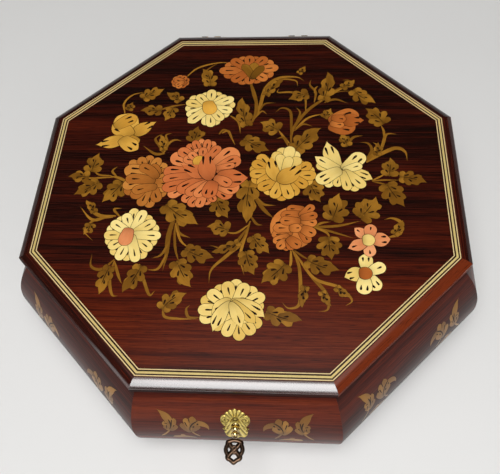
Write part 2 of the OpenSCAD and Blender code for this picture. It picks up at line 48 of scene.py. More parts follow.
MM = 0.001
camera_at = (33.73 * MM, -249.05 * MM, 430.11 * MM)
camera_right = (0.99746392, 0.0454438, -0.05477758)
camera_up = (-0.01065844, 0.85632427, 0.51632852)
camera_back = (0.0703713, -0.51443522, 0.85463693)
lens = bpy.data.cameras.new("camera")
lens.sensor_width = 36.0
lens.lens = 46.45
camera = bpy.data.objects.new("camera", lens)
camera.matrix_world = Matrix(
    [(*turn, place) for turn, place in zip(zip(camera_right, camera_up, camera_back), camera_at)]
    + [(0, 0, 0, 1)])
bpy.context.scene.collection.objects.link(camera)
bpy.context.scene.camera = camera


# Studio: a pale floor that sweeps up behind the box on all sides, one wide soft lamp overhead,
# one from the left and a weak one from the front right. It isn't part of the object.

class Wire:
    """An output of a finish. +, - and * with a wire or a number on their right add the Math nodes."""

    def __init__(self, finish, socket):
        self.finish, self.socket = finish, socket

    def _math(self, operation, first, second):
        return self.finish.node("Math", {"operation": operation}, {0: first, 1: second})

    def __add__(self, other):
        return self._math("ADD", self, other)

    def __sub__(self, other):
        return self._math("SUBTRACT", self, other)

    def __mul__(self, other):
        return self._math("MULTIPLY", self, other)


class Finish:
    """A material in the making, on one Principled shader."""

    def __init__(self, name, **constants):
        self.material = bpy.data.materials.new(name)
        self.material.use_nodes = True
        self.tree = self.material.node_tree
        self.shader = self.tree.nodes["Principled BSDF"]
        self.set(**constants)

    def node(self, kind, settings=None, inputs=None, out=0):
        """Adds a node of that kind, with its settings, then its sockets' values or wires."""
        made = self.tree.nodes.new("ShaderNode" + kind)
        for name, value in (settings or {}).items():
            if name == "stops":
                ramp = made.color_ramp
                while len(ramp.elements) < len(value):
                    ramp.elements.new(0.5)
                for element, (place, colour) in zip(ramp.elements, value):
                    element.position, element.color = place, colour
            else:
                setattr(made, name, value)
        for name, value in (inputs or {}).items():
            if isinstance(value, Wire):
                self.tree.links.new(value.socket, made.inputs[name])
            else:
                made.inputs[name].default_value = value
        return Wire(self, made.outputs[out])

    def set(self, **inputs):
        """Sets the shader's sockets, each named with _ for a blank."""
        for name, value in inputs.items():
            socket = self.shader.inputs[name.replace("_", " ").title().replace("Ior", "IOR")]
            if isinstance(value, Wire):
                self.tree.links.new(value.socket, socket)
            else:
                socket.default_value = value

    def noise(self, vector, scale, detail=3.0, rough=0.55, distortion=0.0):
        """A cloudy pattern from 0 to 1 at places given by a vector."""
        return self.node("TexNoise", {}, {
            "Vector": vector, "Scale": scale, "Detail": detail, "Roughness": rough,
            "Distortion": distortion})

    def between(self, value, low, high):
        """0 below low, 1 above high, and a smooth step from one to the other."""
        return self.node("MapRange", {"interpolation_type": "SMOOTHSTEP"}, {0: value, 1: low, 2: high})

    def blend(self, factor, first, second):
        """The first colour at factor 0, the second at 1."""
        return self.node("Mix", {"data_type": "RGBA"}, {0: factor, 6: first, 7: second}, out=2)

    def bump(self, height, strength, distance):
        """The normal of a surface that rises with height, at most by distance in metres."""
        return self.node("Bump", {}, {"Strength": strength, "Distance": distance, "Height": height})

    def carried(self, name, out="Fac"):
        """A fact that the mesh carries at its points."""
        return self.node("Attribute", {"attribute_name": name}, {}, out)

    def stretched(self, stretch=(1, 1, 1), turn=0.0, start=(0, 0, 0)):
        """Object coordinates turned about Z by -turn degrees and then stretched."""
        coords = self.node("TexCoord", {}, {}, out="Object")
        turned = self.node("Mapping", {"vector_type": "POINT"}, {
            "Vector": coords, "Rotation": (0, 0, math.radians(-turn))})
        return self.node("Mapping", {"vector_type": "POINT"}, {
            "Vector": turned, "Scale": stretch, "Location": start})


def rgb(red, green, blue):
    """A colour as it shows on a screen, 0 to 255, as the linear light that shaders take."""
    shown = np.array([red, green, blue]) / 255
    light = np.where(shown <= 0.04045, shown / 12.92, ((shown + 0.055) / 1.055) ** 2.4)
    return (*light.tolist(), 1.0)


def mesh_of(name, points, wrap_rows=False, wrap_columns=False, closed=False, facts=None, sharp=40):
    """A mesh of quads on a stack of grids of points, patches x rows x columns x 3, in millimetres.
    A wrapped direction joins its last line to its first. facts are values at the points. Without a
    sharp angle the faces stay flat."""
    points = np.asarray(points, float)
    if points.ndim == 3:
        points = points[None]
    patches, rows, columns = points.shape[:3]
    here = np.arange(patches * rows * columns).reshape(patches, rows, columns)
    down, across = np.roll(here, -1, 1), np.roll(here, -1, 2)
    quads = np.stack([here, down, np.roll(down, -1, 2), across], -1)
    quads = quads[:, : rows - (not wrap_rows), : columns - (not wrap_columns)]
    mesh = bpy.data.meshes.new(name)
    mesh.from_pydata((points.reshape(-1, 3) * MM).tolist(), [], quads.reshape(-1, 4).tolist())
    for fact, values in (facts or {}).items():
        wide = values.ndim == 4
        layer = mesh.attributes.new(fact, "FLOAT_VECTOR" if wide else "FLOAT", "POINT")
        layer.data.foreach_set("vector" if wide else "value", values.astype(np.float32).ravel())
    shell = bmesh.new()
    shell.from_mesh(mesh)
    bmesh.ops.remove_doubles(shell, verts=shell.verts, dist=1e-7)
    if closed:
        bmesh.ops.recalc_face_normals(shell, faces=shell.faces)
    shell.to_mesh(mesh)
    shell.free()
    if sharp:
        mesh.shade_smooth()
        mesh.set_sharp_from_angle(angle=math.radians(sharp))
    piece = bpy.data.objects.new(name, mesh)
    bpy.context.scene.collection.objects.link(piece)
    return piece


def turned(profile, steps=96):
    """A profile of (radius, height) pairs turned about Z: radius times cosine and sine of the angle."""
    radius, height = np.asarray(profile, float).T
    angle = np.linspace(0, 2 * np.pi, steps, endpoint=False)
    return np.stack(np.broadcast_arrays(
        radius[:, None] * np.cos(angle), radius[:, None] * np.sin(angle), height[:, None]), -1)


floor_reach = 1500.0
sweep_radius = 500.0
sweep = np.linspace(0, np.pi / 2, 12)
floor_profile = np.concatenate([
    [(0, 0), (250, 0), (700, 0)],
    np.stack([floor_reach + sweep_radius * np.sin(sweep), sweep_radius * (1 - np.cos(sweep))], -1),
    [(floor_reach + sweep_radius, 900)]])
floor = mesh_of("floor", turned(floor_profile), wrap_columns=True)
paper = Finish("pale_paper", roughness=0.7)
paper.set(base_color=rgb(222, 222, 221))
floor.data.materials.append(paper.material)


def soft_lamp(name, azimuth, elevation, distance, width, depth, power):
    """A rectangle of light that looks at the box, its width level."""
    lamp = bpy.data.lights.new(name, "AREA")
    lamp.shape = "RECTANGLE"
    lamp.size, lamp.size_y, lamp.energy = width, depth, power
    holder = bpy.data.objects.new(name, lamp)
    turn, rise = math.radians(azimuth), math.radians(elevation)
    holder.location = (distance * math.cos(rise) * math.cos(turn),
                       distance * math.cos(rise) * math.sin(turn), distance * math.sin(rise))
    holder.rotation_euler = (math.pi / 2 - rise, 0, turn + math.pi / 2)
    bpy.context.scene.collection.objects.link(holder)


soft_lamp("lamp_overhead", -90, 67, 1.5, 1.0, 1.2, 21)
soft_lamp("lamp_left", 215, 22, 1.7, 0.9, 0.6, 3)
soft_lamp("lamp_front", -60, 34, 1.7, 1.0, 0.7, 3)

# The air is dim, with a glow round the zenith that the front of the lid mirrors.
world = bpy.data.worlds.new("studio_air")
world.use_nodes = True
air = world.node_tree
coords = air.nodes.new("ShaderNodeTexCoord")
height = air.nodes.new("ShaderNodeSeparateXYZ")
glow = air.nodes.new("ShaderNodeMapRange")
glow.interpolation_type = "SMOOTHSTEP"
for socket, value in ((1, 0.88), (2, 0.97), (3, 0.02), (4, 0.9)):
    glow.inputs[socket].default_value = value
air.links.new(coords.outputs["Generated"], height.inputs[0])
air.links.new(height.outputs["Z"], glow.inputs[0])
air.links.new(glow.outputs[0], air.nodes["Background"].inputs["Strength"])
air.nodes["Background"].inputs["Color"].default_value = (1.0, 0.95, 0.9, 1)
bpy.context.scene.world = world
bpy.context.scene.view_settings.view_transform = "Standard"


# Foot: a sheet of thin pressed felt under a plain wooden bottom, which is glued and pinned
# into the walls with steel brads. The felt's edge is softly rounded.

MITRE = math.pi / 8
CORNERS = np.radians(np.arange(8) * 45 + 22.5)


def octagon_ring(profile):
    """A profile of (apothem, height) pairs carried round an octagon: each corner lies on its own ray
    from the middle, at the apothem / cos of the mitre."""
    apothem, height = np.asarray(profile, float).T
    corner = np.stack([np.cos(CORNERS), np.sin(CORNERS)], -1) / math.cos(MITRE)
    flat = apothem[:, None, None] * corner
    return np.concatenate([flat, np.broadcast_to(height[:, None, None], (*flat.shape[:2], 1))], -1)


def octagon_board(name, profile):
    """A closed octagonal piece, from the outline of half its section."""
    return mesh_of(name, octagon_ring(profile), wrap_columns=True, closed=True)


def rounded_board(apothem, low, high, radius):
    """The profile of a board with quarter-round edges, from the middle of its underside to the
    middle of its top."""
    angle = np.linspace(-np.pi / 2, 0, 5)
    lower = np.stack([apothem - radius + radius * np.cos(angle), low + radius + radius * np.sin(angle)], -1)
    upper = lower[::-1] * (1, -1) + (0, low + high)
    return np.concatenate([[(0, low)], lower, upper, [(0, high)]])


def darker(colour, share):
    """A share of a colour's light."""
    return (*(part * share for part in colour[:3]), 1.0)


def cloth(name, colour, pile, depth):
    """Short fibres: a fine noise tips the surface and darkens the colour between the tufts, a painted
    shade, and a weak sheen takes four fifths of its tint from the colour."""
    tint = (*(0.2 + 0.8 * part / max(colour[:3]) for part in colour[:3]), 1.0)
    made = Finish(name, roughness=0.95, specular_ior_level=0.15, sheen_weight=0.3, sheen_roughness=0.4,
                  sheen_tint=tint)
    fibres = made.noise(made.stretched(), pile, 4.0, 0.7)
    drift = made.noise(made.stretched(), 55.0, 3.0)
    # Where the fibres are low the colour is darker: painted shade between the tufts.
    made.set(base_color=made.blend(fibres * 0.7 + drift * 0.5, darker(colour, 0.45), colour),
             normal=made.bump(fibres, 0.5, depth))
    return made.material


felt_low, felt_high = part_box("base_felt")
felt_round = 0.45
foot_felt = octagon_board("foot_felt", rounded_board(
    felt_high.x / MM, felt_low.z / MM, felt_high.z / MM, felt_round))
foot_felt.data.materials.append(cloth("green_felt", rgb(52, 74, 54), 3200.0, 0.0002))
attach(foot_felt, "box")
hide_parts("base_felt")


def dress(material, *nodes):
    """Gives nodes of the frame a material."""
    for name in nodes:
        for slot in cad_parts[name].material_slots:
            slot.material = material


softwood = Finish("core_wood", roughness=0.55)
rings = softwood.noise(softwood.stretched((9, 150, 150)), 1.0, 4.0, 0.6, 0.6)
softwood.set(base_color=softwood.node("ValToRGB", {"stops": [
    (0.3, rgb(142, 104, 66)), (0.55, rgb(176, 136, 92)), (0.75, rgb(198, 160, 114))]}, {0: rings}),
    normal=softwood.bump(rings, 0.2, 0.0002))
dress(softwood.material, "base_panel", "lid_core")

steel = Finish("drawn_steel", metallic=1.0, base_color=rgb(172, 172, 168))
steel.set(roughness=steel.noise(steel.stretched(), 900.0) * 0.3 + 0.2)
dress(steel.material, "base_brads", "lock_drill_pin", "lock_spring", "hinge_pin_left", "hinge_pin_right")


# Walls: eight bulging staves veneered in rosewood, mitred at the corners and lacquered until the
# pores are full. The grain runs level round the box.

FACETS = ["front", "front_right", "right", "back_right", "back", "back_left", "left", "front_left"]


def rosewood(name, turn, start, tone_and_painted_light, coat=0.85, haze=0.05, ior=1.45, bare_below=None, front=0.0):
    """Straight streaked grain at turn degrees from X: wide near-black bands, narrow streaks and
    fine dark pores, under a thick clear lacquer. A shift of tone lightens or darkens it all: the
    ground takes it as a plain tone, the walls and the lid's mouldings as painted light and shade.
    front paints a lighter sheen on the part nearest the lock, a painted reflection, and below a
    height the lacquer can be left off."""
    made = Finish(name, roughness=0.5, coat_weight=coat, coat_roughness=haze, coat_ior=ior,
                  specular_ior_level=0.05)
    bands = made.noise(made.stretched((1.6, 34, 34), turn, start), 1.0, 2.5, 0.5, 0.35)
    streaks = made.noise(made.stretched((3.2, 230, 230), turn, start), 1.0, 4.0, 0.62, 0.25)
    threads = made.noise(made.stretched((34, 1350, 1350), turn, start), 1.0, 3.0, 0.6)
    pores = made.between(made.noise(made.stretched((95, 2600, 2600), turn, start), 1.0, 2.0), 0.56, 0.7)
    tone = bands * 0.46 + streaks * 0.52 + threads * 0.5 - 0.24
    # Painted reflection: the part of the lid nearest the front is lightened as if it mirrored a glow.
    if front:
        painted_sheen_nearness = made.node("SeparateXYZ", {}, {0: made.stretched()}, out="Y") * -1
        tone = tone + made.between(painted_sheen_nearness, -0.03, 0.125) * front
    wood = made.node("ValToRGB", {"stops": [
        (0.30, rgb(13, 3, 1)), (0.42, rgb(32, 6, 2)), (0.52, rgb(54, 13, 4)),
        (0.64, rgb(80, 24, 7)), (0.80, rgb(106, 40, 14))]}, {0: tone + tone_and_painted_light})
    made.set(base_color=made.blend(pores * 0.7, wood, rgb(14, 4, 2)),
             normal=made.bump(threads, 0.12, 0.0001))
    if bare_below is not None:
        height = made.node("SeparateXYZ", {}, {0: made.stretched()}, out="Z")
        made.set(coat_weight=made.between(height, bare_below - 0.0004, bare_below) * coat)
    return made.material


# The front and back staves, whose grain runs along X, are 0.11 lighter: painted light for the lit front.
wall_woods = [rosewood(f"rosewood_wall_{way}", way, (0.3, 0.11, 0.05), 0.03 + 0.11 * (way == 0), 0.3)
              for way in (0, 45, 90, 135)]
for k, facet in enumerate(FACETS):
    dress(wall_woods[k % 4], "wall_" + facet)


# Wall leaves: each stave carries four acanthus leaves and two low sprays of olive-gold wood, let
# into the veneer and mirrored about its middle. The inner leaves curl towards each other.

bulge_radius, bulge_middle, belly_height = 63.29, 89.11, 33.1


def bulge(lift, height):
    """How far out the wall stands at a height: the middle of its arc, plus the root of the radius
    squared less the rise squared."""
    return bulge_middle + np.sqrt((bulge_radius + lift) ** 2 - (height - belly_height) ** 2)


def facet_ways(facet):
    """The unit vectors outwards from a facet and along it."""
    angle = math.radians(45 * facet - 90)
    return (np.array([math.cos(angle), math.sin(angle), 0]),
            np.array([-math.sin(angle), math.cos(angle), 0]))


def on_wall(facet):
    """Places flat points (along, height) on the bulge of a facet, lift above its veneer."""
    way, side = facet_ways(facet)

    def place(flat, lift):
        out = bulge(lift, flat[..., 1])
        return out[..., None] * way + flat[..., :1] * side + flat[..., 1:] * (0, 0, 1)
    return place


def shapes(base, tip, width, level=0.0, bend=0.0, roundness=2.0, foot=0.2):
    """Rows of inlaid shapes: base x, y, tip x, y, width, level, bend, tip roundness, foot share."""
    rows = np.empty((len(base), 9))
    rows[:, 0:2], rows[:, 2:4] = base, tip
    for column, values in enumerate((width, level, bend, roundness, foot), 4):
        rows[:, column] = values
    return rows


def spine(rows, t):
    """The middle lines of inlays from their base to their tip, at shares t. Each is an arc that turns
    steadily by its own angle while it keeps the chord. Gives places and directions."""
    base, tip, bend = rows[:, 0:2], rows[:, 2:4], rows[:, 6]
    bend = np.where(np.abs(bend) < 1e-3, 1e-3, bend)[:, None]
    chord = tip - base
    start = -bend / 2
    size = (bend / 2) / np.sin(bend / 2) / bend
    ahead = (np.sin(start + bend * t) - np.sin(start)) * size
    aside = (np.cos(start) - np.cos(start + bend * t)) * size
    normal = chord[:, ::-1] * (-1, 1)
    place = base[:, None] + ahead[..., None] * chord[:, None] + aside[..., None] * normal[:, None]
    angle = start + bend * t
    unit = chord / np.linalg.norm(chord, axis=1, keepdims=True)
    across = unit[:, ::-1] * (-1, 1)
    facing = np.cos(angle)[..., None] * unit[:, None] + np.sin(angle)[..., None] * across[:, None]
    return place, facing


def inlay_grid(place, facing, half, columns):
    """Strips of points about a middle line: place plus s times the half width, square to it."""
    s = np.linspace(-1, 1, columns)
    across = facing[..., ::-1] * (-1, 1)
    return place[:, :, None] + (half[..., None] * s)[..., None] * across[:, :, None]


def petals(rows, grow=0.0, steps=19, columns=3):
    """Grids of the shapes in rows, their grain and a shade that fades from the foot. The half width
    grows from the foot as a sine and closes as (1 - u squared) to the power 1 / roundness; the last
    tenth at the foot is rounded as a circle."""
    chord = rows[:, 2:4] - rows[:, 0:2]
    length = np.linalg.norm(chord, axis=1)
    width = rows[:, 4] + 2 * grow
    wide = rows.copy()
    wide[:, 0:2] -= chord / length[:, None] * grow
    wide[:, 2:4] += chord / length[:, None] * grow
    t = (1 - np.cos(np.linspace(0, np.pi, steps)))[None] / 2 * np.ones((len(rows), 1))
    full = np.clip(1 - width / (2 * length) * np.maximum(1, 1.3 / rows[:, 7]), 0.25, 0.8)[:, None]
    foot, round_tip = rows[:, 8:9], rows[:, 7:8]
    rise = foot + (1 - foot) * np.sin(np.pi / 2 * np.clip(t / full, 0, 1))
    fall = np.clip(1 - (np.clip(t - full, 0, None) / (1 - full)) ** 2, 0, 1) ** (1 / round_tip)
    heel = np.sqrt(np.clip(1 - (1 - np.clip(t / 0.1, 0, 1)) ** 2, 0, 1))
    half = width[:, None] / 2 * rise * fall * heel
    place, facing = spine(wide, t)
    flat = inlay_grid(place, facing, half, columns)
    grain = np.stack([np.linspace(-1, 1, columns) * half[..., None],
                      np.repeat((t * length[:, None])[..., None], columns, 2),
                      np.zeros((*t.shape, columns))], -1)
    return flat, grain, np.repeat(((1 - t) ** 2)[..., None], columns, 2)


def at_leaf(rows, along, aside):
    """Points of leaves: at a share of the midrib, then a share of the half width to its left."""
    place, facing = spine(rows, np.full((len(rows), 1), along))
    across = facing[:, 0, ::-1] * (-1, 1)
    return place[:, 0] + across * (rows[:, 4] / 2 * aside)[:, None]


def leaf_lobes(rows):
    """Lobed leaves as petals: a filling from the foot, two or three pairs of lobes that spring from
    the midrib and hook forwards, and a pointed blade at the end. Rows are base, tip, width, level,
    bend and number of lobe pairs."""
    length = np.linalg.norm(rows[:, 2:4] - rows[:, 0:2], axis=1)
    few = rows[:, 7] < 3
    wild = np.sin(np.arange(len(rows)) * 2.4)

    def lobe(start, along, aside, width, level, bend, roundness, foot, chosen=True):
        made = shapes(at_leaf(rows, start, 0.08 * np.sign(aside)), at_leaf(rows, along, aside),
                      width * length, level, bend, roundness, foot)
        return made[np.broadcast_to(chosen, len(rows))]

    broad = rows[:, 4] / length
    made = [lobe(0.0, 0.86, 0.0, broad * 0.66, 0, 0, 1.2, 0.2),
            lobe(0.36, 1.06, 0.0, broad * 0.5, 9, rows[:, 6] * 0.5 + 0.7 * wild, 0.55, 0.6)]
    for k, side in enumerate((1, -1)):
        made += [lobe(0.06, 0.22, 0.94 * side, 0.30, 1 + k, 0.5 * side, 1.5, 0.6, few),
                 lobe(0.26, 0.66, 0.84 * side, 0.31, 5 + k, 0.6 * side, 1.4, 0.6, few),
                 lobe(0.04, 0.14, 0.84 * side, 0.24, 1 + k, 0.5 * side, 1.6, 0.6, ~few),
                 lobe(0.18, 0.44, 1.00 * side, 0.25, 3 + k, 0.6 * side, 1.6, 0.6, ~few),
                 lobe(0.40, 0.78, 0.68 * side, 0.24, 5 + k, 0.6 * side, 1.2, 0.6, ~few)]
    return np.concatenate(made)


def leaf_cuts(rows):
    """The midrib as a fine kerf that ends in a round hole, and a teardrop between the lobes."""
    cuts = [shapes(at_leaf(rows, low, aside * 0.4), at_leaf(rows, high, aside), 1.15)
            for low, high, aside in ((0.18, 0.34, 0.46), (0.34, 0.50, -0.44), (0.52, 0.66, 0.32))]
    midrib = shapes(at_leaf(rows, 0.05, 0), at_leaf(rows, 0.66, 0), 0.5, bend=rows[:, 6] * 0.6)
    return np.concatenate([*cuts, midrib])


def leafy(lobes, cuts, wood, base):
    """Leaves as layers a few microns apart: their dark edge, the wood lobe by lobe, and the cuts."""
    own = 0.0002 * (np.arange(len(lobes)) % 5)
    over = base + 0.016 + 0.0003 * (np.arange(len(cuts)) % 7)
    return [(petals(lobes, 0.15, columns=2), base + own, ink.material),
            (petals(lobes), base + 0.002 + 0.0012 * lobes[:, 5] + own, wood),
            (petals(cuts, steps=13, columns=2), over, ink.material)]


def inlay_wood(name, light, dark, figure=0.35, coat=0.85):
    """Thin lacquered wood: fine lines along each piece's own grain, a cloudy figure, a tone that
    differs from piece to piece, and a scorched shade at the foot of each."""
    made = Finish(name, roughness=0.38, coat_weight=coat, coat_roughness=0.1, coat_ior=1.45,
                  specular_ior_level=0.1)
    own, shade, tone = made.carried("grain", "Vector"), made.carried("shade"), made.carried("tone")
    lines = made.noise(made.node("Mapping", {}, {"Vector": own, "Scale": (2300, 160, 1)}), 1.0, 3.0, 0.6)
    cloud = made.noise(made.node("Mapping", {}, {"Vector": own, "Scale": (210, 120, 1)}), 1.0, 2.0)
    mix = made.between(lines * figure + cloud * 0.5 + tone * 0.5, 0.25, 0.95)
    wood = made.blend(mix, light, dark)
    made.set(base_color=made.blend(made.between(shade, 0.05, 1.6), wood, darker(dark, 0.42)),
             normal=made.bump(lines, 0.1, 0.0001))
    return made.material


ink = Finish("dark_cut", roughness=0.6, coat_weight=0.4, coat_roughness=0.1, coat_ior=1.4,
             specular_ior_level=0.05)
ink.set(base_color=ink.blend(ink.noise(ink.stretched(), 900.0), rgb(16, 5, 3), rgb(38, 14, 7)))

inlay_count = 0
plate_thick = 0.15


def inlay(name, place, parts, body):
    """Sets grids of inlays into a surface. Each part is grids, lift in millimetres (one for all,
    then stepped 0.3 microns a plate, or one for each plate) and a material; the plates are given
    their thickness downwards. Each has a number of its own from 0 to 1, the fraction of a large
    sine of its count, that moves its grain and sets its tone."""
    global inlay_count
    pieces = []
    for (flat, grain, shade), lift, material in parts:
        count = len(flat)
        number = inlay_count + np.arange(count)
        inlay_count += count
        odd = np.modf(np.abs(np.sin(number * 12.9898 + 4.1) * 43758.5453))[0]
        grain = grain * MM + np.stack([odd * 3, odd * 7, odd], -1)[:, None, None]
        lift = lift if np.ndim(lift) else lift + 0.0003 * np.arange(count)
        points = place(flat, lift[:, None, None] * np.ones(flat.shape[:3]))
        facts = {"grain": grain, "shade": shade, "tone": np.broadcast_to(odd[:, None, None], shade.shape)}
        piece = mesh_of(name, points, facts=facts, sharp=0)
        piece.data.materials.append(material)
        pieces.append(piece)
    first = pieces[0]
    if len(pieces) > 1:
        with bpy.context.temp_override(active_object=first, object=first, selected_objects=pieces,
                                       selected_editable_objects=pieces):
            bpy.ops.object.join()
    plate = first.modifiers.new("thickness", "SOLIDIFY")
    plate.thickness, plate.offset = plate_thick * MM, -1
    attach(first, body)
    return first


wall_leaf_wood = inlay_wood("olive_wall_leaf", rgb(152, 107, 40), rgb(112, 73, 22), 0.4, 0.3)
scroll = np.array([
    # base, tip, width, level, bend, tip roundness, foot share
    [26.6, 51.6, 16.3, 44.4, 4.9, 8, 2.2, 0.42, 0.85], [26.0, 47.3, 25.0, 58.4, 4.4, 6, 0, 1.0, 0.6],
    [27.7, 43.1, 29.3, 57.0, 4.2, 5, -0.1, 1.0, 0.55], [27.7, 40.8, 32.0, 52.2, 4.2, 4, 0.4, 0.9, 0.5],
    [27.2, 42.2, 21.9, 50.5, 4.7, 5, -0.1, 1.0, 0.6], [26.9, 46.0, 23.6, 54.4, 4.4, 3, 0.4, 1.5, 0.6],
    [27.6, 44.4, 22.3, 34.1, 1.3, 1, -0.3, 0.7, 0.9],
    [39.9, 45.3, 45.8, 63.4, 5.3, 8, -1.35, 0.45, 0.6], [40.3, 44.1, 42.8, 53.3, 3.6, 5, -0.2, 0.9, 0.6],
    [40.4, 43.1, 42.7, 49.3, 3.6, 6, -0.1, 0.9, 0.6], [39.2, 53.2, 41.4, 43.0, 3.0, 7, 0.2, 0.9, 0.6],
    [39.4, 43.8, 36.1, 56.6, 3.2, 5, -0.35, 0.9, 0.6], [39.7, 42.2, 35.3, 50.1, 3.6, 6, -0.4, 0.9, 0.6],
    [39.3, 45.3, 46.6, 33.2, 1.3, 1, 0.3, 0.7, 0.9],
    [25.0, 30.6, 39.6, 31.2, 4.2, 7, -1.3, 1.1, 0.4], [31.5, 32.5, 33.5, 37.2, 3.0, 2, 0.3, 1.6, 0.6]])
scroll_cuts = np.array([
    [27.6, 42.6, 22.1, 54.4, 0.9, 0, 1.2, 2, 0.25], [40.1, 44.4, 39.5, 55.3, 0.8, 0, -0.8, 2, 0.25],
    [38.6, 47.6, 37.5, 55.0, 0.6, 0, 0, 2, 0.3], [40.5, 50.8, 42.3, 51.6, 0.8, 0, 0, 2, 0.5],
    [37.6, 47.6, 36.5, 49.7, 0.6, 0, 0, 2, 0.3], [28.9, 48.2, 30.0, 53.2, 0.7, 0, 0, 2, 0.4],
    [27.1, 52.6, 27.6, 56.6, 0.6, 0, 0, 2, 0.4], [23.0, 50.7, 22.1, 51.9, 1.1, 0, 0, 2, 0.8],
    [25.6, 47.3, 24.9, 49.0, 1.0, 0, 0, 2, 0.8], [41.8, 45.1, 41.2, 49.5, 0.5, 0, 0, 2, 0.4]])
flip = (-1, 1, -1, 1, 1, 1, -1, 1, 1)
scroll, scroll_cuts = [np.concatenate([rows, rows * flip]) for rows in (scroll, scroll_cuts)]


veneer_foot, veneer_rim, veneer_thick, veneer_lift = 2.0, 77.5, 0.6, 0.02
keyway_half = 4.6
far_end = 99  # past every mitre


def veneer_patch(ends):
    """The face of a stave between two ends: level lines up its bulge, and down again behind it."""
    steps = 24
    level = np.linspace(veneer_foot, veneer_rim, steps)
    height, depth = np.concatenate([level, level[::-1]]), np.repeat([0, -veneer_thick], steps)
    reach = bulge(depth, height) * math.tan(MITRE) - 0.02
    along = np.stack([np.clip(end, -reach, reach) for end in ends])
    flat = np.stack([along, np.broadcast_to(height, along.shape)], -1)
    return flat, np.broadcast_to(depth + veneer_lift, along.shape)


def capped(rows):
    """A stack of like outlines, each end closed at the middle of its outline."""
    first, last = [np.broadcast_to(row.mean(0), row.shape) for row in (rows[0], rows[-1])]
    return np.stack([first, *rows, last])


for k, facet in enumerate(FACETS):
    strips = [(-far_end, -keyway_half), (keyway_half, far_end)] if k == 0 else [(-far_end, far_end)]
    sheets = [capped(on_wall(k)(*veneer_patch(ends))) for ends in strips]
    veneer = mesh_of("wall_veneer_" + facet, np.stack(sheets), wrap_columns=True, closed=True)
    veneer.data.materials.append(wall_woods[k % 4])
    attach(veneer, "box")
    wall_leaves = inlay("wall_leaves_" + facet, on_wall(k),
                        leafy(scroll, scroll_cuts, wall_leaf_wood, 0.035), "box")
    if k == 0:
        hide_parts("wall_inlays")


# Lining: red short-pile velvet. Eight cards of it are glued to the walls, and a padded floor of the
# same velvet is dropped in between them.

velvet = cloth("red_velvet", rgb(128, 18, 32), 2600.0, 0.0003)
low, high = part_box("lining_floor")
pad_edge, pad_foot, pad_top = high.x / MM, low.z / MM, high.z / MM
rim_height, crown_height, crown_reach = 0.5, 1.5, 12
crown = np.linspace(0, 1, 14)
floor_pad = octagon_board("floor_pad", np.concatenate([
    [(0, pad_foot), (pad_edge - 0.6, pad_foot)],
    np.stack([pad_edge - crown_reach * crown ** 2,
              pad_foot + rim_height + crown_height * np.sin(np.pi / 2 * crown)], -1),
    [(0, pad_top)]]))
floor_pad.data.materials.append(velvet)
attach(floor_pad, "box")
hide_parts("lining_floor")


def wall_strip(facet, profile, ends):
    """A closed profile of (outwards, height) pairs carried along a facet between two ends, each a
    distance from the middle that stops at the mitre."""
    way, side = facet_ways(facet)
    out, height = profile.T
    reach = out * math.tan(MITRE) - 0.015
    stops = [np.clip(end, -reach, reach)[:, None] for end in ends]
    return capped([out[:, None] * way + stop * side + height[:, None] * (0, 0, 1) for stop in stops])


low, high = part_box("lining_walls")
lining_low, lining_high = low.z / MM, high.z / MM
lining_in, lining_out = 122.9, 124.5
panel = np.array([(lining_out, lining_low), (lining_in + 0.5, lining_low), (lining_in, lining_low + 0.8),
                  (lining_in, lining_high - 1.2), (lining_in + 0.35, lining_high - 0.35),
                  (lining_in + 1.1, lining_high), (lining_out, lining_high)])
cover_half = 28.0
cover_foot = 42.0
for k, facet in enumerate(FACETS):
    if k:
        parts = [wall_strip(k, panel, (-far_end, far_end))]
    else:
        below_top = (lining_high - panel[:, 1]) * (panel[:, 1] > cover_foot)
        short = np.stack([panel[:, 0], np.minimum(panel[:, 1], cover_foot - below_top)], -1)
        parts = [wall_strip(0, panel, (-far_end, -cover_half)),
                 wall_strip(0, short, (-cover_half, cover_half)),
                 wall_strip(0, panel, (cover_half, far_end))]
    velvet_panel = mesh_of("wall_velvet_" + facet, np.stack(parts), wrap_columns=True, closed=True)
    velvet_panel.data.materials.append(velvet)
    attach(velvet_panel, "box")
    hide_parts("lining_walls")


# Lock: a box lock of sheet brass let into the front wall, its cover plate screwed on from inside.
# The bolt slides sideways and its two hooks catch the staples of the lid's link plate.

def sheet_brass(name, colour, rough, scratch=(60, 1800, 1800)):
    """Rolled brass: fine lines along the sheet, and a dull film that lies in clouds."""
    made = Finish(name, metallic=1.0)
    lines = made.noise(made.stretched(scratch), 1.0, 3.0, 0.6)
    film = made.between(made.noise(made.stretched(), 130.0, 4.0), 0.45, 0.75)
    made.set(base_color=made.blend(film * 0.6, colour, darker(colour, 0.55)),
             roughness=lines * 0.2 + film * 0.15 + rough,
             normal=made.bump(lines, 0.15, 0.00005))
    return made.material


dress(sheet_brass("rolled_brass", rgb(206, 172, 96), 0.18), "lock_case", "lock_cover", "link_plate")
dress(sheet_brass("bolt_metal", rgb(200, 190, 160), 0.2), "lock_bolt")
dress(sheet_brass("screw_brass", rgb(214, 184, 104), 0.15, (900, 900, 900)),
      "lock_screws", "link_screws", "hinge_box_screws", "hinge_lid_screws")


# Hinges: two stop hinges of rolled brass let into the back rim and the lid, each held by brass
# screws and turning on a steel pin.

dress(sheet_brass("hinge_brass", rgb(204, 168, 92), 0.16), "hinge_box_leaf_left", "hinge_box_leaf_right",
      "hinge_lid_leaf_left", "hinge_lid_leaf_right")


# Lid edge: eight mitred mouldings of rosewood round the core, their grain lengthwise and their
# upper arris well rounded. The front one, where fingers lift the lid, has its lacquer rubbed bright.

edge_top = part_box("lid_edge_front")[1].z
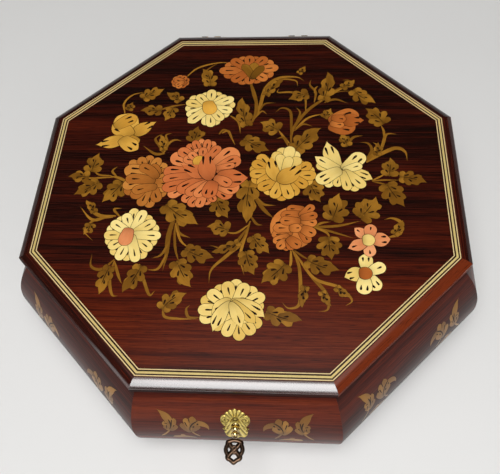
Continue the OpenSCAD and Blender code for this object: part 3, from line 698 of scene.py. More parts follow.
# Each moulding's tone shift paints light and shade: the front-right one lighter where light falls, the back
# and left ones darker.
for k, (facet, tone_and_painted_light) in enumerate(zip(FACETS, (0, 0.42, 0, -0.06, -0.06, -0.06, -0.04, -0.02))):
    haze, ior = (0.12, 1.6) if k else (0.22, 2.15)
    dress(rosewood("rosewood_edge_" + facet, 45 * k, (0.7, 0.4, 0.2), tone_and_painted_light, 1.0, haze, ior,
                   edge_top - 0.0028), "lid_edge_" + facet)


# Stringing: a broad pale line between two dark and two fine pale ones, with a red fillet outside
# them, between the mouldings and the lid's ground.

def line_wood(name, light, dark):
    """Plain wood for thin lines: a fine even grain between two tones, under the lacquer."""
    made = Finish(name, roughness=0.4, coat_weight=0.5, coat_roughness=0.1, coat_ior=1.45,
                  specular_ior_level=0.1)
    fine = made.noise(made.stretched(), 700.0, 4.0)
    made.set(base_color=made.blend(fine, light, dark))
    return made.material


string_low, string_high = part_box("banding_pale")
string_edges = np.array([128.85, 129.4, 130.4, 131.65, 132.5, 133.1, 133.75])
pale_string = line_wood("pale_string", rgb(232, 208, 158), rgb(206, 178, 122))
broad_string = line_wood("broad_string", rgb(214, 194, 130), rgb(186, 162, 98))
dark_string = line_wood("dark_string", rgb(30, 14, 5), rgb(48, 26, 9))
red_string = line_wood("red_string", rgb(74, 28, 11), rgb(44, 14, 6))
for k, wood in enumerate((pale_string, dark_string, broad_string, dark_string, pale_string, red_string)):
    inside, outside = string_edges[k:k + 2]
    bottom, top = string_low.z / MM, string_high.z / MM - 0.01 * (k % 2)
    section = [(inside, bottom), (outside, bottom), (outside, top), (inside, top)]
    string = mesh_of(f"string_{k}", octagon_ring(section), wrap_rows=True, wrap_columns=True, closed=True)
    string.data.materials.append(wood)
    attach(string, "lid")
    "dark_wood" if k % 2 else "pale_wood"
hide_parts("banding_pale")
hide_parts("banding_dark")


# Ground: the lid's octagon of rosewood veneer, glued to the core inside the stringing, its grain
# from side to side. All the inlays are let into it.

ground_low, ground_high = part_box("lid_veneer")
ground_foot, ground_top, ground_edge = ground_low.z / MM, ground_high.z / MM - 0.2, ground_high.x / MM - 0.02
ground = octagon_board("lid_ground", [
    (0, ground_foot), (ground_edge, ground_foot), (ground_edge, ground_top), (0, ground_top)])
# front=0.17 paints a lighter sheen on the front of the ground: a painted reflection.
ground.data.materials.append(rosewood("rosewood_ground", 0, (0.12, 0.07, 0.0), -0.05, haze=0.11, front=0.17))
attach(ground, "lid")
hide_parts("lid_veneer")


def on_lid(flat, lift):
    """Places flat points (x, y) on the lid, lift above its ground."""
    return np.concatenate([flat, (ground_top + lift)[..., None]], -1)


# Stems: tendrils of olive-gold wood let into the ground. They swell in the middle and end in a
# fine hook, and the leaves and flowers lie over their ends.

def through(points, t):
    """Places at shares t of a Catmull-Rom curve through the points: on each piece between points b
    and c it is the cubic that leaves along c - a and arrives along d - b."""
    p = np.array(points, float)
    p = np.concatenate([[2 * p[0] - p[1]], p, [2 * p[-1] - p[-2]]])
    u = t * (len(p) - 3)
    i = np.minimum(u.astype(int), len(p) - 4)
    f = (u - i)[:, None]
    a, b, c, d = p[i], p[i + 1], p[i + 2], p[i + 3]
    return 0.5 * (2 * b + (c - a) * f + (2 * a - 5 * b + 4 * c - d) * f ** 2
                  + (3 * b - a - 3 * c + d) * f ** 3)


def tendrils(paths):
    """Each path is a width and points. The half width along the curve through the points is half
    the width times (0.3 + 0.7 sin(pi t^0.8)) and closes as 1 - t^5."""
    steps, columns = 30, 3
    flats, grains = [], []
    t = np.linspace(0, 1, steps)
    for width, *points in paths:
        place = through(points, t)
        facing = np.gradient(place, axis=0)
        facing /= np.linalg.norm(facing, axis=1, keepdims=True) + 1e-9
        half = width / 2 * (0.3 + 0.7 * np.sin(np.pi * t ** 0.8)) * (1 - t ** 5)
        flats.append(inlay_grid(place[None], facing[None], half[None], columns)[0])
        along = np.concatenate([[0], np.cumsum(np.linalg.norm(np.diff(place, axis=0), axis=1))])
        grains.append(np.stack([np.linspace(-1, 1, columns) * half[:, None],
                                along[:, None] * np.ones(columns), np.zeros((steps, columns))], -1))
    return np.stack(flats), np.stack(grains), np.zeros((len(paths), steps, columns))


leaf_wood = inlay_wood("olive_leaf", rgb(163, 113, 35), rgb(114, 74, 17), 0.4)
inlay("lid_stems", on_lid, [(tendrils([
    # right of the middle, rising to the back
    (2.8, (1, 49), (7, 64), (11, 84), (20, 94), (33, 95), (39, 91)),
    (1.6, (19, 92), (26, 93), (33, 91), (34, 86)),
    (2.6, (2, 50), (5, 62), (4, 76), (0, 92)),
    (1.5, (7, 62), (11, 69), (19, 70)),
    (1.3, (4, 55), (9, 62), (13, 59)),
    (2.4, (30, 31), (31, 45), (40, 61), (51, 72), (62, 80), (78, 81)),
    (2.6, (50, 71), (60, 80), (67, 85), (73, 89)),
    (2.0, (61, 82), (68, 86), (71, 91), (66, 92)),
    (1.8, (46, 70), (47, 80), (43, 87), (44, 93)),
    (1.4, (46, 79), (47, 84), (49, 86)),
    (1.9, (40, 62), (39, 76), (30, 80), (20, 80), (21, 84)),
    (2.0, (30, 35), (30, 50), (29, 62), (23, 65), (18, 60)),
    (1.5, (32, 48), (36, 60), (33, 66)),
    (1.7, (33, 46), (42, 56), (54, 60)),
    (1.5, (32, 44), (38, 50), (45, 48)),
    (1.9, (53, 70), (61, 73), (70, 69)),
    (1.7, (29, 33), (24, 40), (20, 47)),
    (2.2, (28, 31), (25, 38), (20, 37)),
    (3.0, (80, 17), (90, 24), (100, 29), (106, 26), (107, 18)),
    (2.8, (80, 18), (85, 24), (88, 31), (85, 34)),
    (1.9, (79, 18), (84, 27), (82, 33), (76, 34)),
    (2.2, (89, 23), (92, 33), (95, 41), (102, 41)),
    (1.7, (93, 36), (93, 44), (91, 50)),
    (1.3, (83, 2), (88, 5), (93, 8)), (1.3, (83, 2), (92, 2.5), (102, 2.5)),
    (1.3, (83, 1.5), (91, -1), (95, -4)),
    (2.0, (67, 30), (72, 38), (79, 40)), (2.2, (66, 30), (65, 36), (63, 39)),
    # right of the middle, towards the front
    (1.7, (45, -34), (50, -31), (56, -30)), (1.9, (45, -34), (60, -33), (75, -29)),
    (1.5, (46, -34), (58, -38), (70, -42)), (1.7, (45, -34), (53, -38), (55, -43)),
    (2.6, (91, -41), (98, -38), (99, -30), (94, -27), (89, -28)),
    (1.7, (31, -51), (31, -60), (29, -66)),
    (2.2, (32, -51), (36, -62), (37, -78), (36, -88), (30, -90), (26, -86)),
    (2.2, (33, -52), (43, -68), (52, -80), (53, -90), (47, -92)),
    (2.0, (34, -54), (45, -70), (60, -76), (67, -84), (63, -88)),
    (1.3, (33, -51), (38, -55), (43, -58)),
    (1.9, (7, -10), (13, -17), (21, -18)), (2.6, (7, -12), (14, -22), (20, -28)),
    (1.7, (5, -26), (9, -32), (13, -33)),
    (2.4, (5, -30), (1, -45), (-8, -55), (-17, -65), (-18, -75)),
    (1.5, (4, -33), (-4, -39), (-14, -37)), (2.2, (3, -36), (-7, -50), (-20, -48)),
    (1.8, (3, -40), (0, -55), (3, -69)),
    # left of the middle, towards the front
    (3.2, (-43, -24), (-46, -40), (-46, -55), (-47, -67)), (1.7, (-45, -45), (-49, -55), (-55, -58)),
    (1.7, (-46, -55), (-50, -65), (-57, -66)), (2.4, (-42, -30), (-40, -39), (-32, -43)),
    (1.5, (-43, -32), (-38, -45), (-31, -51)), (1.7, (-43, -34), (-41, -50), (-37, -62)),
    (1.8, (-44, -92), (-42, -97), (-34, -98), (-22, -98)),
    (1.8, (-22, -97), (-28, -97), (-30, -92), (-28, -89)),
    (2.0, (-78, -59), (-85, -66), (-92, -64), (-93, -55)),
    (2.0, (-62, -62), (-57, -75), (-53, -83), (-50, -80)),
    (2.0, (-78, -60), (-79, -72), (-76, -83), (-72, -84)), (1.8, (-78, -60), (-74, -70), (-71, -76)),
    (1.4, (-88, 4), (-104, 3), (-112, 3)), (1.4, (-90, 5), (-99, 6), (-104, 11)),
    (1.6, (-86, 4), (-90, 9), (-87, 13)), (1.6, (-79, -28), (-84, -22), (-79, -21)),
    (2.6, (-82, -27), (-92, -27), (-100, -22), (-104, -15)), (2.0, (-86, -27), (-97, -30), (-107, -20)),
    (1.6, (-84, -28), (-95, -30), (-101, -38), (-94, -46)), (2.2, (-76, -2), (-84, 3), (-92, 5)),
    # left of the middle, towards the back
    (1.6, (-89, 60), (-91, 70), (-86, 78), (-77, 81)), (1.6, (-66, 63), (-55, 67), (-45, 69)),
    (2.0, (-57, 24), (-60, 30), (-64, 37), (-59, 42)), (1.7, (-57, 25), (-54, 33), (-50, 36), (-45, 35)),
    (2.2, (-56, 24), (-63, 24), (-72, 31)), (1.9, (-57, 24), (-55, 32), (-57, 40), (-53, 42)),
    (1.5, (-48, 96), (-40, 105), (-26, 110), (-12, 110)), (1.5, (-34, 97), (-33, 103), (-25, 110)),
    (1.7, (-13, 58), (-7, 52), (-5, 41)), (1.8, (-18, 42), (-14, 44), (-11, 38), (-8, 31)),
    (1.5, (-20, 41), (-17, 45), (-12, 44)), (2.0, (-1, 95), (2, 80), (5, 66)),
]), 0.004, leaf_wood)], "lid")


# Leaves: lobed leaves of the same wood, cut lobe by lobe and let into the ground, each with a fine
# midrib and dark cuts between its lobes.

lid_leaves = np.array([
    # centre x, y, length, heading, width, bend, pairs of lobes
    [-33, 95, 18, 110, 11, 0.9, 3], [-71, 79, 17, 35, 11, -0.5, 3], [-55, 76, 14, 140, 8, 0.5, 2],
    [-70, 63, 15, 180, 10, 0.2, 2], [-57, 60, 13, 250, 10, -0.3, 2], [-103, 16, 16, 80, 13, -0.2, 2],
    [-112, 4, 14, 180, 10, 0.3, 2], [-36, 41, 14, 80, 13, 0.2, 2], [-105, -5, 18, 215, 13, -0.3, 3],
    [-87, -8, 19, 235, 14, -0.3, 3], [-100, -20, 12, 125, 5, 0.5, 2], [-99, -37, 9, 250, 8, -0.5, 2],
    [-40, -25, 26, 325, 15, 0.4, 3], [-14, -20, 17, 300, 13, 0.4, 3], [-15, -36, 14, 170, 12, 0.6, 2],
    [-26, -54, 19, 340, 12, 0.6, 3], [-34, -68, 20, 300, 13, 0.3, 3], [-38, -87, 17, 40, 11, -0.8, 3],
    [-82, -73, 19, 258, 9, 0.3, 3], [-65, -72, 20, 245, 11, -0.4, 3], [-3, 61, 26, 100, 10, -0.3, 3],
    [6, 32, 20, 330, 13, 0.3, 3], [15, 48, 15, 150, 14, 0.3, 2], [41, 36, 26, 48, 14, -0.3, 3],
    [54, 85, 27, 82, 10, 0.5, 3], [35, 76, 15, 200, 11, 0.4, 2], [37, 102, 9, 55, 5, 0.4, 2],
    [70, 88, 12, 40, 7, 0.5, 2], [81, 76, 19, 318, 12, 0.7, 3], [88, 57, 18, 130, 15, 0.4, 3],
    [66, 36, 12, 110, 8, 0.3, 2], [88, 28, 11, 80, 6, 0.4, 2], [95, 13, 15, 85, 12, 0.2, 2],
    [109, 3, 17, 345, 11, -0.4, 3], [97, -9, 20, 300, 15, 0.2, 3], [46, -7, 17, 295, 14, 0.2, 3],
    [59, -19, 21, 75, 16, 0.3, 3], [79, -19, 19, 55, 17, 0.5, 3], [55, -49, 16, 275, 15, 0.2, 3],
    [50, -61, 20, 340, 12, 0.5, 3], [21, -67, 19, 225, 15, -0.3, 3], [12, -47, 16, 310, 11, 0.4, 3],
    [6, -60, 17, 290, 12, 0.3, 3], [39, -82, 14, 262, 5, 0.3, 2], [27, -95, 21, 345, 11, 0.5, 3],
    [97, -34, 12, 60, 6, 0.5, 2], [3, -14, 32, 268, 13, 0.2, 3], [-9, -49, 18, 205, 6, -0.4, 3],
    [52, -83, 11, 300, 5, 0.4, 2], [62, -79, 11, 320, 5, 0.4, 2], [17, 85, 20, 55, 6, -0.4, 3],
    [55, 60, 10, 60, 8, 0.3, 2], [-86, 67, 8, 70, 7, 0.2, 2], [-59, 33, 14, 105, 5, 0.4, 2]])
x, y, length, heading, width, bend, pairs = lid_leaves.T
along, up = np.cos(np.radians(heading)) * length / 2, np.sin(np.radians(heading)) * length / 2
lid_rows = np.stack([x - along, y - up, x + along, y + up, width * 1.05, 0 * x, bend, pairs], -1)
leaves = inlay("lid_leaves", on_lid, leafy(leaf_lobes(lid_rows), leaf_cuts(lid_rows), leaf_wood, 0.03),
               "lid")
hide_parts("leaf_inlays")


# Flowers: each is built up of veneer petals laid like shingles, with a dark kerf round every petal
# and a teardrop cut in it. The woods are cream, golden, peach, salmon and orange-brown.

two_cuts = 8.2


def fan(x, y, angles, reach, width, level=0.0, roundness=2.0):
    """Petals that spread from one point: each tip lies at its reach along its angle. Levels start
    again when they run out."""
    ahead = np.stack([np.cos(np.radians(angles)), np.sin(np.radians(angles))], -1)
    base = np.broadcast_to([float(x), float(y)], ahead.shape)
    level = np.resize(level, len(angles))
    return shapes(base, base + np.reshape(reach, (-1, 1)) * ahead, width, level, 0.0, roundness, 0.72)


def gathered(petals_and_fans):
    """One array of rows. A single petal is base x, y, tip x, y and width, then as many of level,
    bend, tip roundness and foot share as aren't 0, 0, 2 and 0.65."""
    usual = (0, 0, 2, 0.65)
    return np.concatenate([[(*row, *usual[len(row) - 5:])] if isinstance(row, tuple) else row
                           for row in petals_and_fans])


def slits(rows):
    """Teardrop cuts in each petal, their round ends outwards: one on the middle line of a narrow
    petal, one to each side of it in a wide one."""
    place, facing = spine(rows, np.array([[0.52, 0.8]]) * np.ones((len(rows), 1)))
    across = facing[:, :, ::-1] * (-1, 1)
    wide = rows[:, 4] >= two_cuts
    made = []
    for chosen, aside in ((~wide, 0.0), (wide, 0.2), (wide, -0.2)):
        ends = (place + across * (rows[:, 4:5] * aside)[:, None])[chosen]
        thick = np.clip(rows[chosen, 4] * 0.15, 0.95, 1.7)
        made.append(shapes(ends[:, 0], ends[:, 1], thick, foot=0.1))
    return np.concatenate(made)


def flower(name, wood, rows, heart=(), heart_wood=None, base=0.052):
    """Lays the petals one by one from the lowest level: kerf, wood and cut, each a little above the
    last, so that no two plates share a plane."""
    rows = gathered(rows)
    rows[:, 4] *= np.where((rows[:, 4] < 9.2) & (rows[:, 7] == 2), 0.9, 1)
    outer = len(rows)
    if heart:
        rows = np.concatenate([rows, gathered(heart)])
    in_heart = np.arange(len(rows)) >= outer
    order = np.argsort(np.argsort(rows[:, 5] + 1e-3 * np.arange(len(rows))))
    lift = base + 0.0024 * order + 0.0002 * (len(name) % 4)
    cut, wide = (rows[:, 4] > 4) & ~in_heart, rows[:, 4] >= two_cuts
    over = np.concatenate([lift[cut & ~wide], lift[cut & wide], lift[cut & wide] + 0.0001]) + 0.0016
    parts = [(petals(rows, 0.28, columns=2), lift, ink.material),
             (petals(rows[~in_heart]), lift[~in_heart] + 0.0008, wood),
             (petals(slits(rows[cut]), steps=13, columns=2), over, ink.material)]
    if heart:
        parts.append((petals(rows[in_heart]), lift[in_heart] + 0.0008, heart_wood))
    return inlay(name, on_lid, parts, "lid")


cream = inlay_wood("cream_wood", rgb(246, 224, 146), rgb(228, 194, 106))
golden = inlay_wood("golden_wood", rgb(226, 176, 78), rgb(198, 142, 50))
pale_gold = inlay_wood("pale_gold_wood", rgb(240, 212, 130), rgb(216, 178, 88))
salmon = inlay_wood("salmon_wood", rgb(220, 132, 76), rgb(192, 101, 52), 0.25)
peach = inlay_wood("peach_wood", rgb(240, 168, 116), rgb(214, 130, 80))
orange = inlay_wood("orange_wood", rgb(206, 124, 56), rgb(166, 88, 34))
amber = inlay_wood("amber_wood", rgb(200, 132, 58), rgb(164, 96, 36))

peony = flower("peony", salmon, [
    # the fringe at the back, then the petals to the right, to the left and in front
    (-31, 19.5, -40.7, 32.2, 6.6, 0), (-30, 19.5, -36.6, 35.5, 6, 1), (-29, 19.5, -31.9, 36.6, 6, 0),
    (-28, 19.5, -27.2, 36.4, 6, 1), (-28, 19.5, -23, 34.6, 6.5, 0), (-27.5, 17.7, -18.7, 30.4, 7, 1),
    (-31, 14, -51.6, 21.3, 12, 0, 0.2), (-32, 16, -46.5, 27.6, 9, 1, 0.2),
    (-31, 16, -42.7, 19.5, 8, 2, 0.3), (-31, 16, -38.9, 24.9, 6.6, 3), (-30, 16, -34.9, 28.1, 6.1, 2),
    (-29.5, 16, -29.9, 29.5, 6.5, 3),
    (-20, 10.7, -6, 27, 15, 0, -0.35), (-20.4, 9, -4, 20, 10, 1, -0.2), (-20.6, 11.5, -7.3, 14.4, 5.6, 3),
    (-19.3, 3.7, 2, 3.8, 15, 2, 0.2, 0.85), (-18.2, -1.4, -4, -6.4, 11.5, 1, -0.3),
    (-21, -3, -8.5, -12.3, 10, 0, -0.3), (-20.7, 3.7, -9.1, -2.2, 8.2, 4, -0.4),
    (-33, 7, -55, 8.5, 9.5, 0, 0.2), (-33, 5.4, -54.8, 1.8, 8, 1, 0.2), (-33, 0.2, -54.2, -5.9, 8.8, 2, 0.3),
    (-33, -1.5, -49.4, -11.8, 8.5, 1, 0.4),
    (-25.5, 2, -43.5, -8, 9.4, 3, 0.5), (-24, 0.2, -37.5, -10.5, 8.4, 4, 0.5),
    (-22.5, 0.3, -31.3, -12, 8, 5, 0.4), (-20.5, 1.1, -23.6, -12.6, 10, 6, 0.2),
    (-29, -6.6, -40, -15.5, 7.8, 0, 0.2), (-27.4, -8.3, -34.8, -19.4, 8, 1, 0.2),
    (-26, -8.2, -29.2, -20, 7.2, 2), (-24, -8.2, -23.9, -18, 6.8, 1), (-22.6, -8.2, -19, -15.5, 6, 2),
    (-23.8, 6.7, -44, 14.8, 11.5, 7, -0.45, 0.55, 0.2), (-23, 1.5, -26.5, 27, 12, 8, -0.5, 0.5, 0.35),
], [(-31.9, 13.5, -31.6, 22, 8.6, 4)],
    inlay_wood("heart_yellow", rgb(232, 184, 84), rgb(208, 150, 54)), base=0.118)
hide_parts("flower_inlays")

flower("golden_rose", golden, [
    fan(20, 8, [128, 150, 168, 184, 204, 222], [19, 18, 17.5, 17, 17, 15], 8.5, [0, 1]),
    fan(29, 6, [52, 34, 16, 0, 340, 322], [15, 17.5, 17.5, 18, 16.5, 15], 8.5, [0, 1]),
    fan(25, 3, [206, 226, 248, 268, 288, 308], [18, 16.5, 16.5, 17.5, 16.5, 16], 8.5, [2, 1]),
    (22.8, 1.4, 16.8, 22, 11, 3, -0.45, 0.6, 0.4), (21.4, 1, 38, 15.6, 12.6, 4, 0.45, 0.6, 0.4),
], [fan(27, 14, [150, 128, 104, 80, 56, 30], [10.5, 14, 15.5, 16.5, 14, 11.5], 7.5, [2, 2.5]),
    fan(26, 8, [104, 76], [16, 14], 6.5, [3.2, 3.6], roundness=1.4)], pale_gold)

flower("cream_lily", cream, [
    (62.7, 11.6, 54.3, 35, 10.5, 2, -0.45, 0.6, 0.4), (60.9, 18.5, 52.4, 26.5, 5.5, 1),
    (62.4, 11, 46, 22, 8, 3, -0.3, 0.7), (62.4, 10.5, 47, 14.6, 7.6, 1),
    (64.3, 10.6, 78, 24.6, 10.6, 2, 0.35), (64.5, 10.6, 77, 15, 7, 3, 0.2),
    (65, 10.6, 83.5, 3, 8.5, 2, -0.3, 0.8), (64.5, 10, 77.7, -3.6, 8.2, 3, -0.3),
    (63.7, 10, 72.8, -6.4, 7.4, 1, -0.2), (63.7, 10, 67.3, -5.8, 7, 4, -0.15),
    (63.5, 10.6, 47.6, 0.2, 9.8, 4, 0.35), (63, 9.5, 53.5, -3.3, 6.4, 2, 0.2),
    (63, 9.5, 60, -3, 6.6, 3, 0.1)])

flower("cream_bloom", cream, [
    fan(-28, 66, [110, 90, 68, 46, 28, 8, -13, -31, -52, -70, -84, -98, -135, -155, -176, 164, 147, 130],
        [15, 17, 15.5, 15.5, 18.5, 18, 16.5, 16, 15.5, 17.5, 18.5, 17, 20.5, 18, 18, 18.5, 18, 15.5], 7.6,
        [0, 1, 0, 2, 3, 2, 3, 2, 3, 0, 1, 0, 4, 3, 0, 1, 0, 1], roundness=[2] * 12 + [1.2] + [2] * 5)],
    [(-30, 72, -26, 59.5, 10, 6, 0.3)], inlay_wood("heart_amber", rgb(240, 188, 84), rgb(220, 160, 60)))

flower("golden_pansy", golden, [
    (-84.7, 38.8, -88.5, 60, 18, 1, 0, 3, 0.9), (-81.8, 38.8, -96.4, 49.8, 12.7, 2, 0.5, 1.5),
    (-94, 47, -79.5, 57, 10.3, 3, -0.5, 1.4), (-79.8, 40.7, -65, 52.6, 10.8, 1, -0.35, 0.6),
    (-86, 37.5, -105.6, 31.6, 10.6, 4, -0.35, 0.6), (-88, 37.9, -75, 27.6, 11.5, 5, 0.35, 1.1),
    (-77.3, 38.8, -83.1, 27.6, 10.6, 4.5, 0.3)])

flower("orange_bloom", orange, [
    fan(-1, 102, [180, 196, 162, 141, 118, 95, 72, 50, 28, 8, -16, -38, -62, -90, -116, -140],
        [23, 20, 20, 18.5, 16, 15.5, 15, 18, 19, 21, 18, 16, 14.5, 14, 15.5, 17], 8.4,
        [2, 1, 1, 2, 1, 2, 1, 2, 1, 3, 1, 2, 1, 2, 1, 2])],
    [(1, 93, 2, 110, 7, 4, 0, 1.2), (1, 94, -7, 108, 6, 4.5, 0.4, 1.1), (1, 94, 9, 106, 6, 5, -0.4, 1.1)],
    leaf_wood)

flower("amber_shell", amber, [
    fan(-66, 2, [128, 108, 90, 70, 48, 28], [20.5, 20, 20.5, 19.5, 18, 16], 7.5, [0, 1]),
    fan(-62, 0, [330, 310, 290, 272, 254], [13, 15, 17, 20.5, 20], 8, [1, 0]),
    fan(-62, 0, [10, -8], [12.5, 12], 8, [0, 1]),
    fan(-62, 2, [232, 212, 196], [19, 20.5, 20], 9, [3, 2, 3]),
    (-60, 4, -82, 9, 11, 4, 0.7), (-60, 0, -80, 2, 9, 5, 0.6), (-59, 3, -72, 13, 8.5, 6, 0.9),
    (-58, 6, -64, 14, 7, 3, 0.6), (-58, -4, -74, -8, 8, 6, 0.5)])

flower("cream_aster", cream, [
    fan(-70, -41, [92, 72, 52, 36, 18, -2, -20, -38, -58, -74,
                   -92, -108, -126, -143, -160, -178, 163, 146, 128, 110],
        [20, 19.5, 18, 17.5, 18, 19, 18, 18, 20, 20.5, 19, 19.5, 18, 16.5, 17, 17.5, 17, 17, 16.5, 17], 7.6,
        [0, 2, 1, 3, 1, 3, 0, 2, 1, 3, 1, 2, 0, 2, 0, 2, 0, 2, 0, 1])],
    [(-72, -36, -74, -49, 9, 5)], peach)

flower("russet_bloom", orange, [
    (41.4, -31.2, 18.4, -39.0, 30.6, 0, 0, 1.9, 0.7), (39.5, -20.8, 27.9, -20.5, 5.9, 1, 0.1, 1.5),
    (37.6, -24.3, 24.3, -25.6, 6.2, 2, 0.1, 1.5), (37, -30.1, 23.8, -29.5, 6.5, 3, 0.1, 1.5),
    (36.3, -35, 19.6, -35.2, 6.8, 2, 0.1, 1.5), (31.9, -37.7, 18.9, -40.5, 6.3, 1, 0, 1.5),
    (30, -40.3, 19.9, -45.4, 5.8, 2, 0, 1.5), (28.5, -43.3, 22.6, -50, 5.9, 3, 0, 1.5),
    (28.5, -44.4, 28, -51.5, 5, 2, 0, 1.5), (36, -25.9, 45, -17.6, 6.2, 4, 0.2),
    (36.6, -27.4, 47.4, -24.6, 6.5, 5, 0.1), (37, -29.3, 47, -31.5, 7.2, 4, -0.2),
    (37, -35, 46, -39.8, 8.4, 6, -0.2), (36.4, -36.5, 42.1, -45.5, 6.7, 5, -0.2),
    (29.1, -41.8, 37, -48.5, 8, 7, 0.3), (28.8, -42.9, 31.8, -50.8, 5.8, 6),
    (29.7, -35.5, 37.5, -34.5, 6.4, 8, 0, 1.5)])

flower("peach_star", peach, [
    (79.4, -40.8, 80.8, -31.7, 7.8, 3, 0, 1.8), (76.9, -41.2, 70.3, -34.4, 7.1, 2, 0.2, 0.9),
    (80, -43, 91.9, -42.3, 9.9, 1, 0, 1.1, 0.5), (78.8, -44.6, 79.3, -55.1, 7.5, 4, 0.1, 1.3, 0.5),
    (77.7, -43.9, 65.8, -49.2, 8.1, 5, -0.2, 0.8, 0.5)],
    [(74.9, -43.1, 82.5, -43, 8.2, 6)], pale_gold)

flower("cream_star", cream, [
    (75.9, -64.3, 76.3, -53, 8.6, 1, 0.1, 1.5, 0.5), (77, -65.8, 87.6, -60.6, 8.8, 2, 0, 2, 0.5),
    (76.6, -66.2, 83.7, -77.1, 8.2, 1, 0.2, 1.6, 0.5), (75.3, -67.6, 74.1, -80.2, 9.4, 3, 0, 2, 0.5),
    (74.7, -65.9, 63.1, -69.2, 9.6, 2, 0.25, 0.9, 0.5)],
    [(71.8, -66.4, 79.7, -66.1, 8.2, 4)], orange)

flower("yellow_mum", pale_gold, [
    fan(-2, -92, [198, 180, 160, 142, 124, 106, 88, 70, 51, 30, 12],
        [20.5, 21, 21, 20, 19.5, 19.5, 20.5, 19, 19.5, 20.5, 18], 8.6, [0, 1]),
    fan(0, -92, [222, 250, 278, 304, 326], [18, 17.5, 19, 18, 17.5], 8, [0, 1]),
    (-2, -86, -14, -96, 14, 2, -0.4, 1.6), (-2, -86, 10, -97, 15, 2.5, 0.4, 1.6),
    (-4, -85.5, 16.4, -96, 8.5, 3.5, -0.5, 0.7, 0.3), (-3.4, -86.2, 11, -100, 6.4, 5, -0.2, 0.8),
    (-4.3, -86.2, -13.4, -105.8, 8.2, 4, 0.4, 0.6, 0.3), (-4.3, -86.6, 3.4, -103.6, 7.6, 6, -0.3, 0.6, 0.3)])

flower("orange_bud", orange, [
    (57.2, 52.4, 74.1, 47.6, 17, 0, 0.4, 2, 0.8), (56.6, 50.9, 76.8, 59, 14.5, 1, -0.35, 1.6, 0.6),
    (65.8, 54, 80.2, 53.5, 11.5, 2, 0.1, 0.8), (57.8, 56.2, 68, 54.7, 6.8, 4, 0.3, 1.5),
    (56.6, 51, 66.5, 49.4, 6, 3, 0.3, 1.4)])

flower("small_bud", orange, [
    fan(-52, 91, [100, 60, 20, -20, -60, -100, -140, 180, 140], 6.8, 5.6, [0, 1, 0, 1, 0, 1, 0, 1, 2]),
    (-48, 88, -57, 93, 6.5, 3, 0.9), (-49, 91, -55, 87, 4.5, 4, 0.6)])


# Escutcheon: a cast brass plate bent to the wall and held by two pins. It has a fluted crest, a
# rolled volute on each side and a leafy skirt round the keyhole.

def cast(name, colour, shadow, rough):
    """Cast metal: a fine grain, a film that lies in clouds, and dark wax left in the hollows."""
    made = Finish(name, metallic=1.0)
    grain = made.noise(made.stretched(), 1600.0, 3.0)
    film = made.between(made.noise(made.stretched(), 240.0, 3.0), 0.4, 0.75)
    hollow = made.carried("hollow")
    made.set(base_color=made.blend(hollow * 0.85 + film * 0.2, colour, shadow),
             roughness=film * 0.12 + hollow * 0.3 + rough,
             normal=made.bump(grain, 0.2, 0.00004))
    return made.material


key_height = 52.0
edge_right = [
    (0.0, 64.7), (1.6, 64.4), (3.2, 63.8), (4.7, 62.8), (5.9, 61.4), (6.3, 60.4), (7.3, 60.2), (8.4, 58.8),
    (8.72, 56.4), (8.2, 54.0), (6.9, 51.8), (6.1, 50.2), (6.7, 49.2), (7.9, 48.4), (6.5, 47.4), (5.9, 46.4),
    (6.9, 45.2), (7.0, 44.0), (6.0, 43.2), (6.5, 42.0), (6.6, 40.4), (5.9, 38.8), (4.2, 37.8), (2.2, 37.4),
    (0.0, 36.3)]
edge = np.array(edge_right + [(-x, z) for x, z in edge_right[-2::-1]])
rim = through(edge, np.linspace(0, 1, 361))[:-1]
crown = np.arctan2(rim[:, 0], rim[:, 1] - 56.5)
scallops = (0.85 * np.abs(np.cos(crown * 8)) ** 0.8 - 0.62) * (np.abs(crown) < 0.98)
rim += scallops[:, None] * np.stack([np.sin(crown), np.cos(crown)], -1)
rim[:, 1] = np.minimum(rim[:, 1], 64.8)
ray = np.arctan2(rim[:, 0], key_height - rim[:, 1])
eye_radius, slot_half, slot_reach = 2.15, 0.95, 4.9
slot = np.minimum(slot_half / np.maximum(np.abs(np.sin(ray)), 1e-3),
                  slot_reach / np.maximum(np.cos(ray), 1e-3))
keyhole = np.where(np.cos(ray) > 0, np.maximum(eye_radius, slot), eye_radius)
inner = np.stack([keyhole * np.sin(ray), key_height - keyhole * np.cos(ray)], -1)
share = np.linspace(0, 1, 40)[:, None, None]
flat = inner * (1 - share) + rim * share
x, z = np.abs(flat[..., 0]), flat[..., 1]
from_edge = np.linalg.norm(rim - flat, axis=-1)
from_key = np.linalg.norm(inner - flat, axis=-1)


def ridge(distance, width):
    """A bell: e to the power of minus the square of distance over width."""
    return np.exp(-(distance / width) ** 2)


# The relief is a sum of ridges: the rolled edge, a collar round the keyhole, the flutes of the crest
# as a cosine of their angle, a spiral in each volute, veins that fan out in the skirt, and a round
# stud in a hollow at the foot of the crest.
fan_angle, fan_reach = np.arctan2(x, z - 56.0), np.hypot(x, z - 56.0)
in_crest = np.clip((fan_reach - 3.6) / 0.6, 0, 1) * (np.abs(fan_angle) < 1.05)
curl_angle, curl_reach = np.arctan2(z - 56.6, x - 5.5), np.hypot(x - 5.5, z - 56.6)
in_curl = np.clip((3.3 - curl_reach) / 0.6, 0, 1)
vein_angle = np.arctan2(x, 55.0 - z)
in_skirt = np.clip((50.0 - z) / 1.5, 0, 1) * np.clip((from_key - 0.6) / 0.6, 0, 1)
in_middle = np.clip(54.5 - z, 0, 1) * np.clip(z - 49, 0, 1) * np.clip((from_key - 0.8) / 0.6, 0, 1)
from_stud = np.hypot(x, z - 57.6)
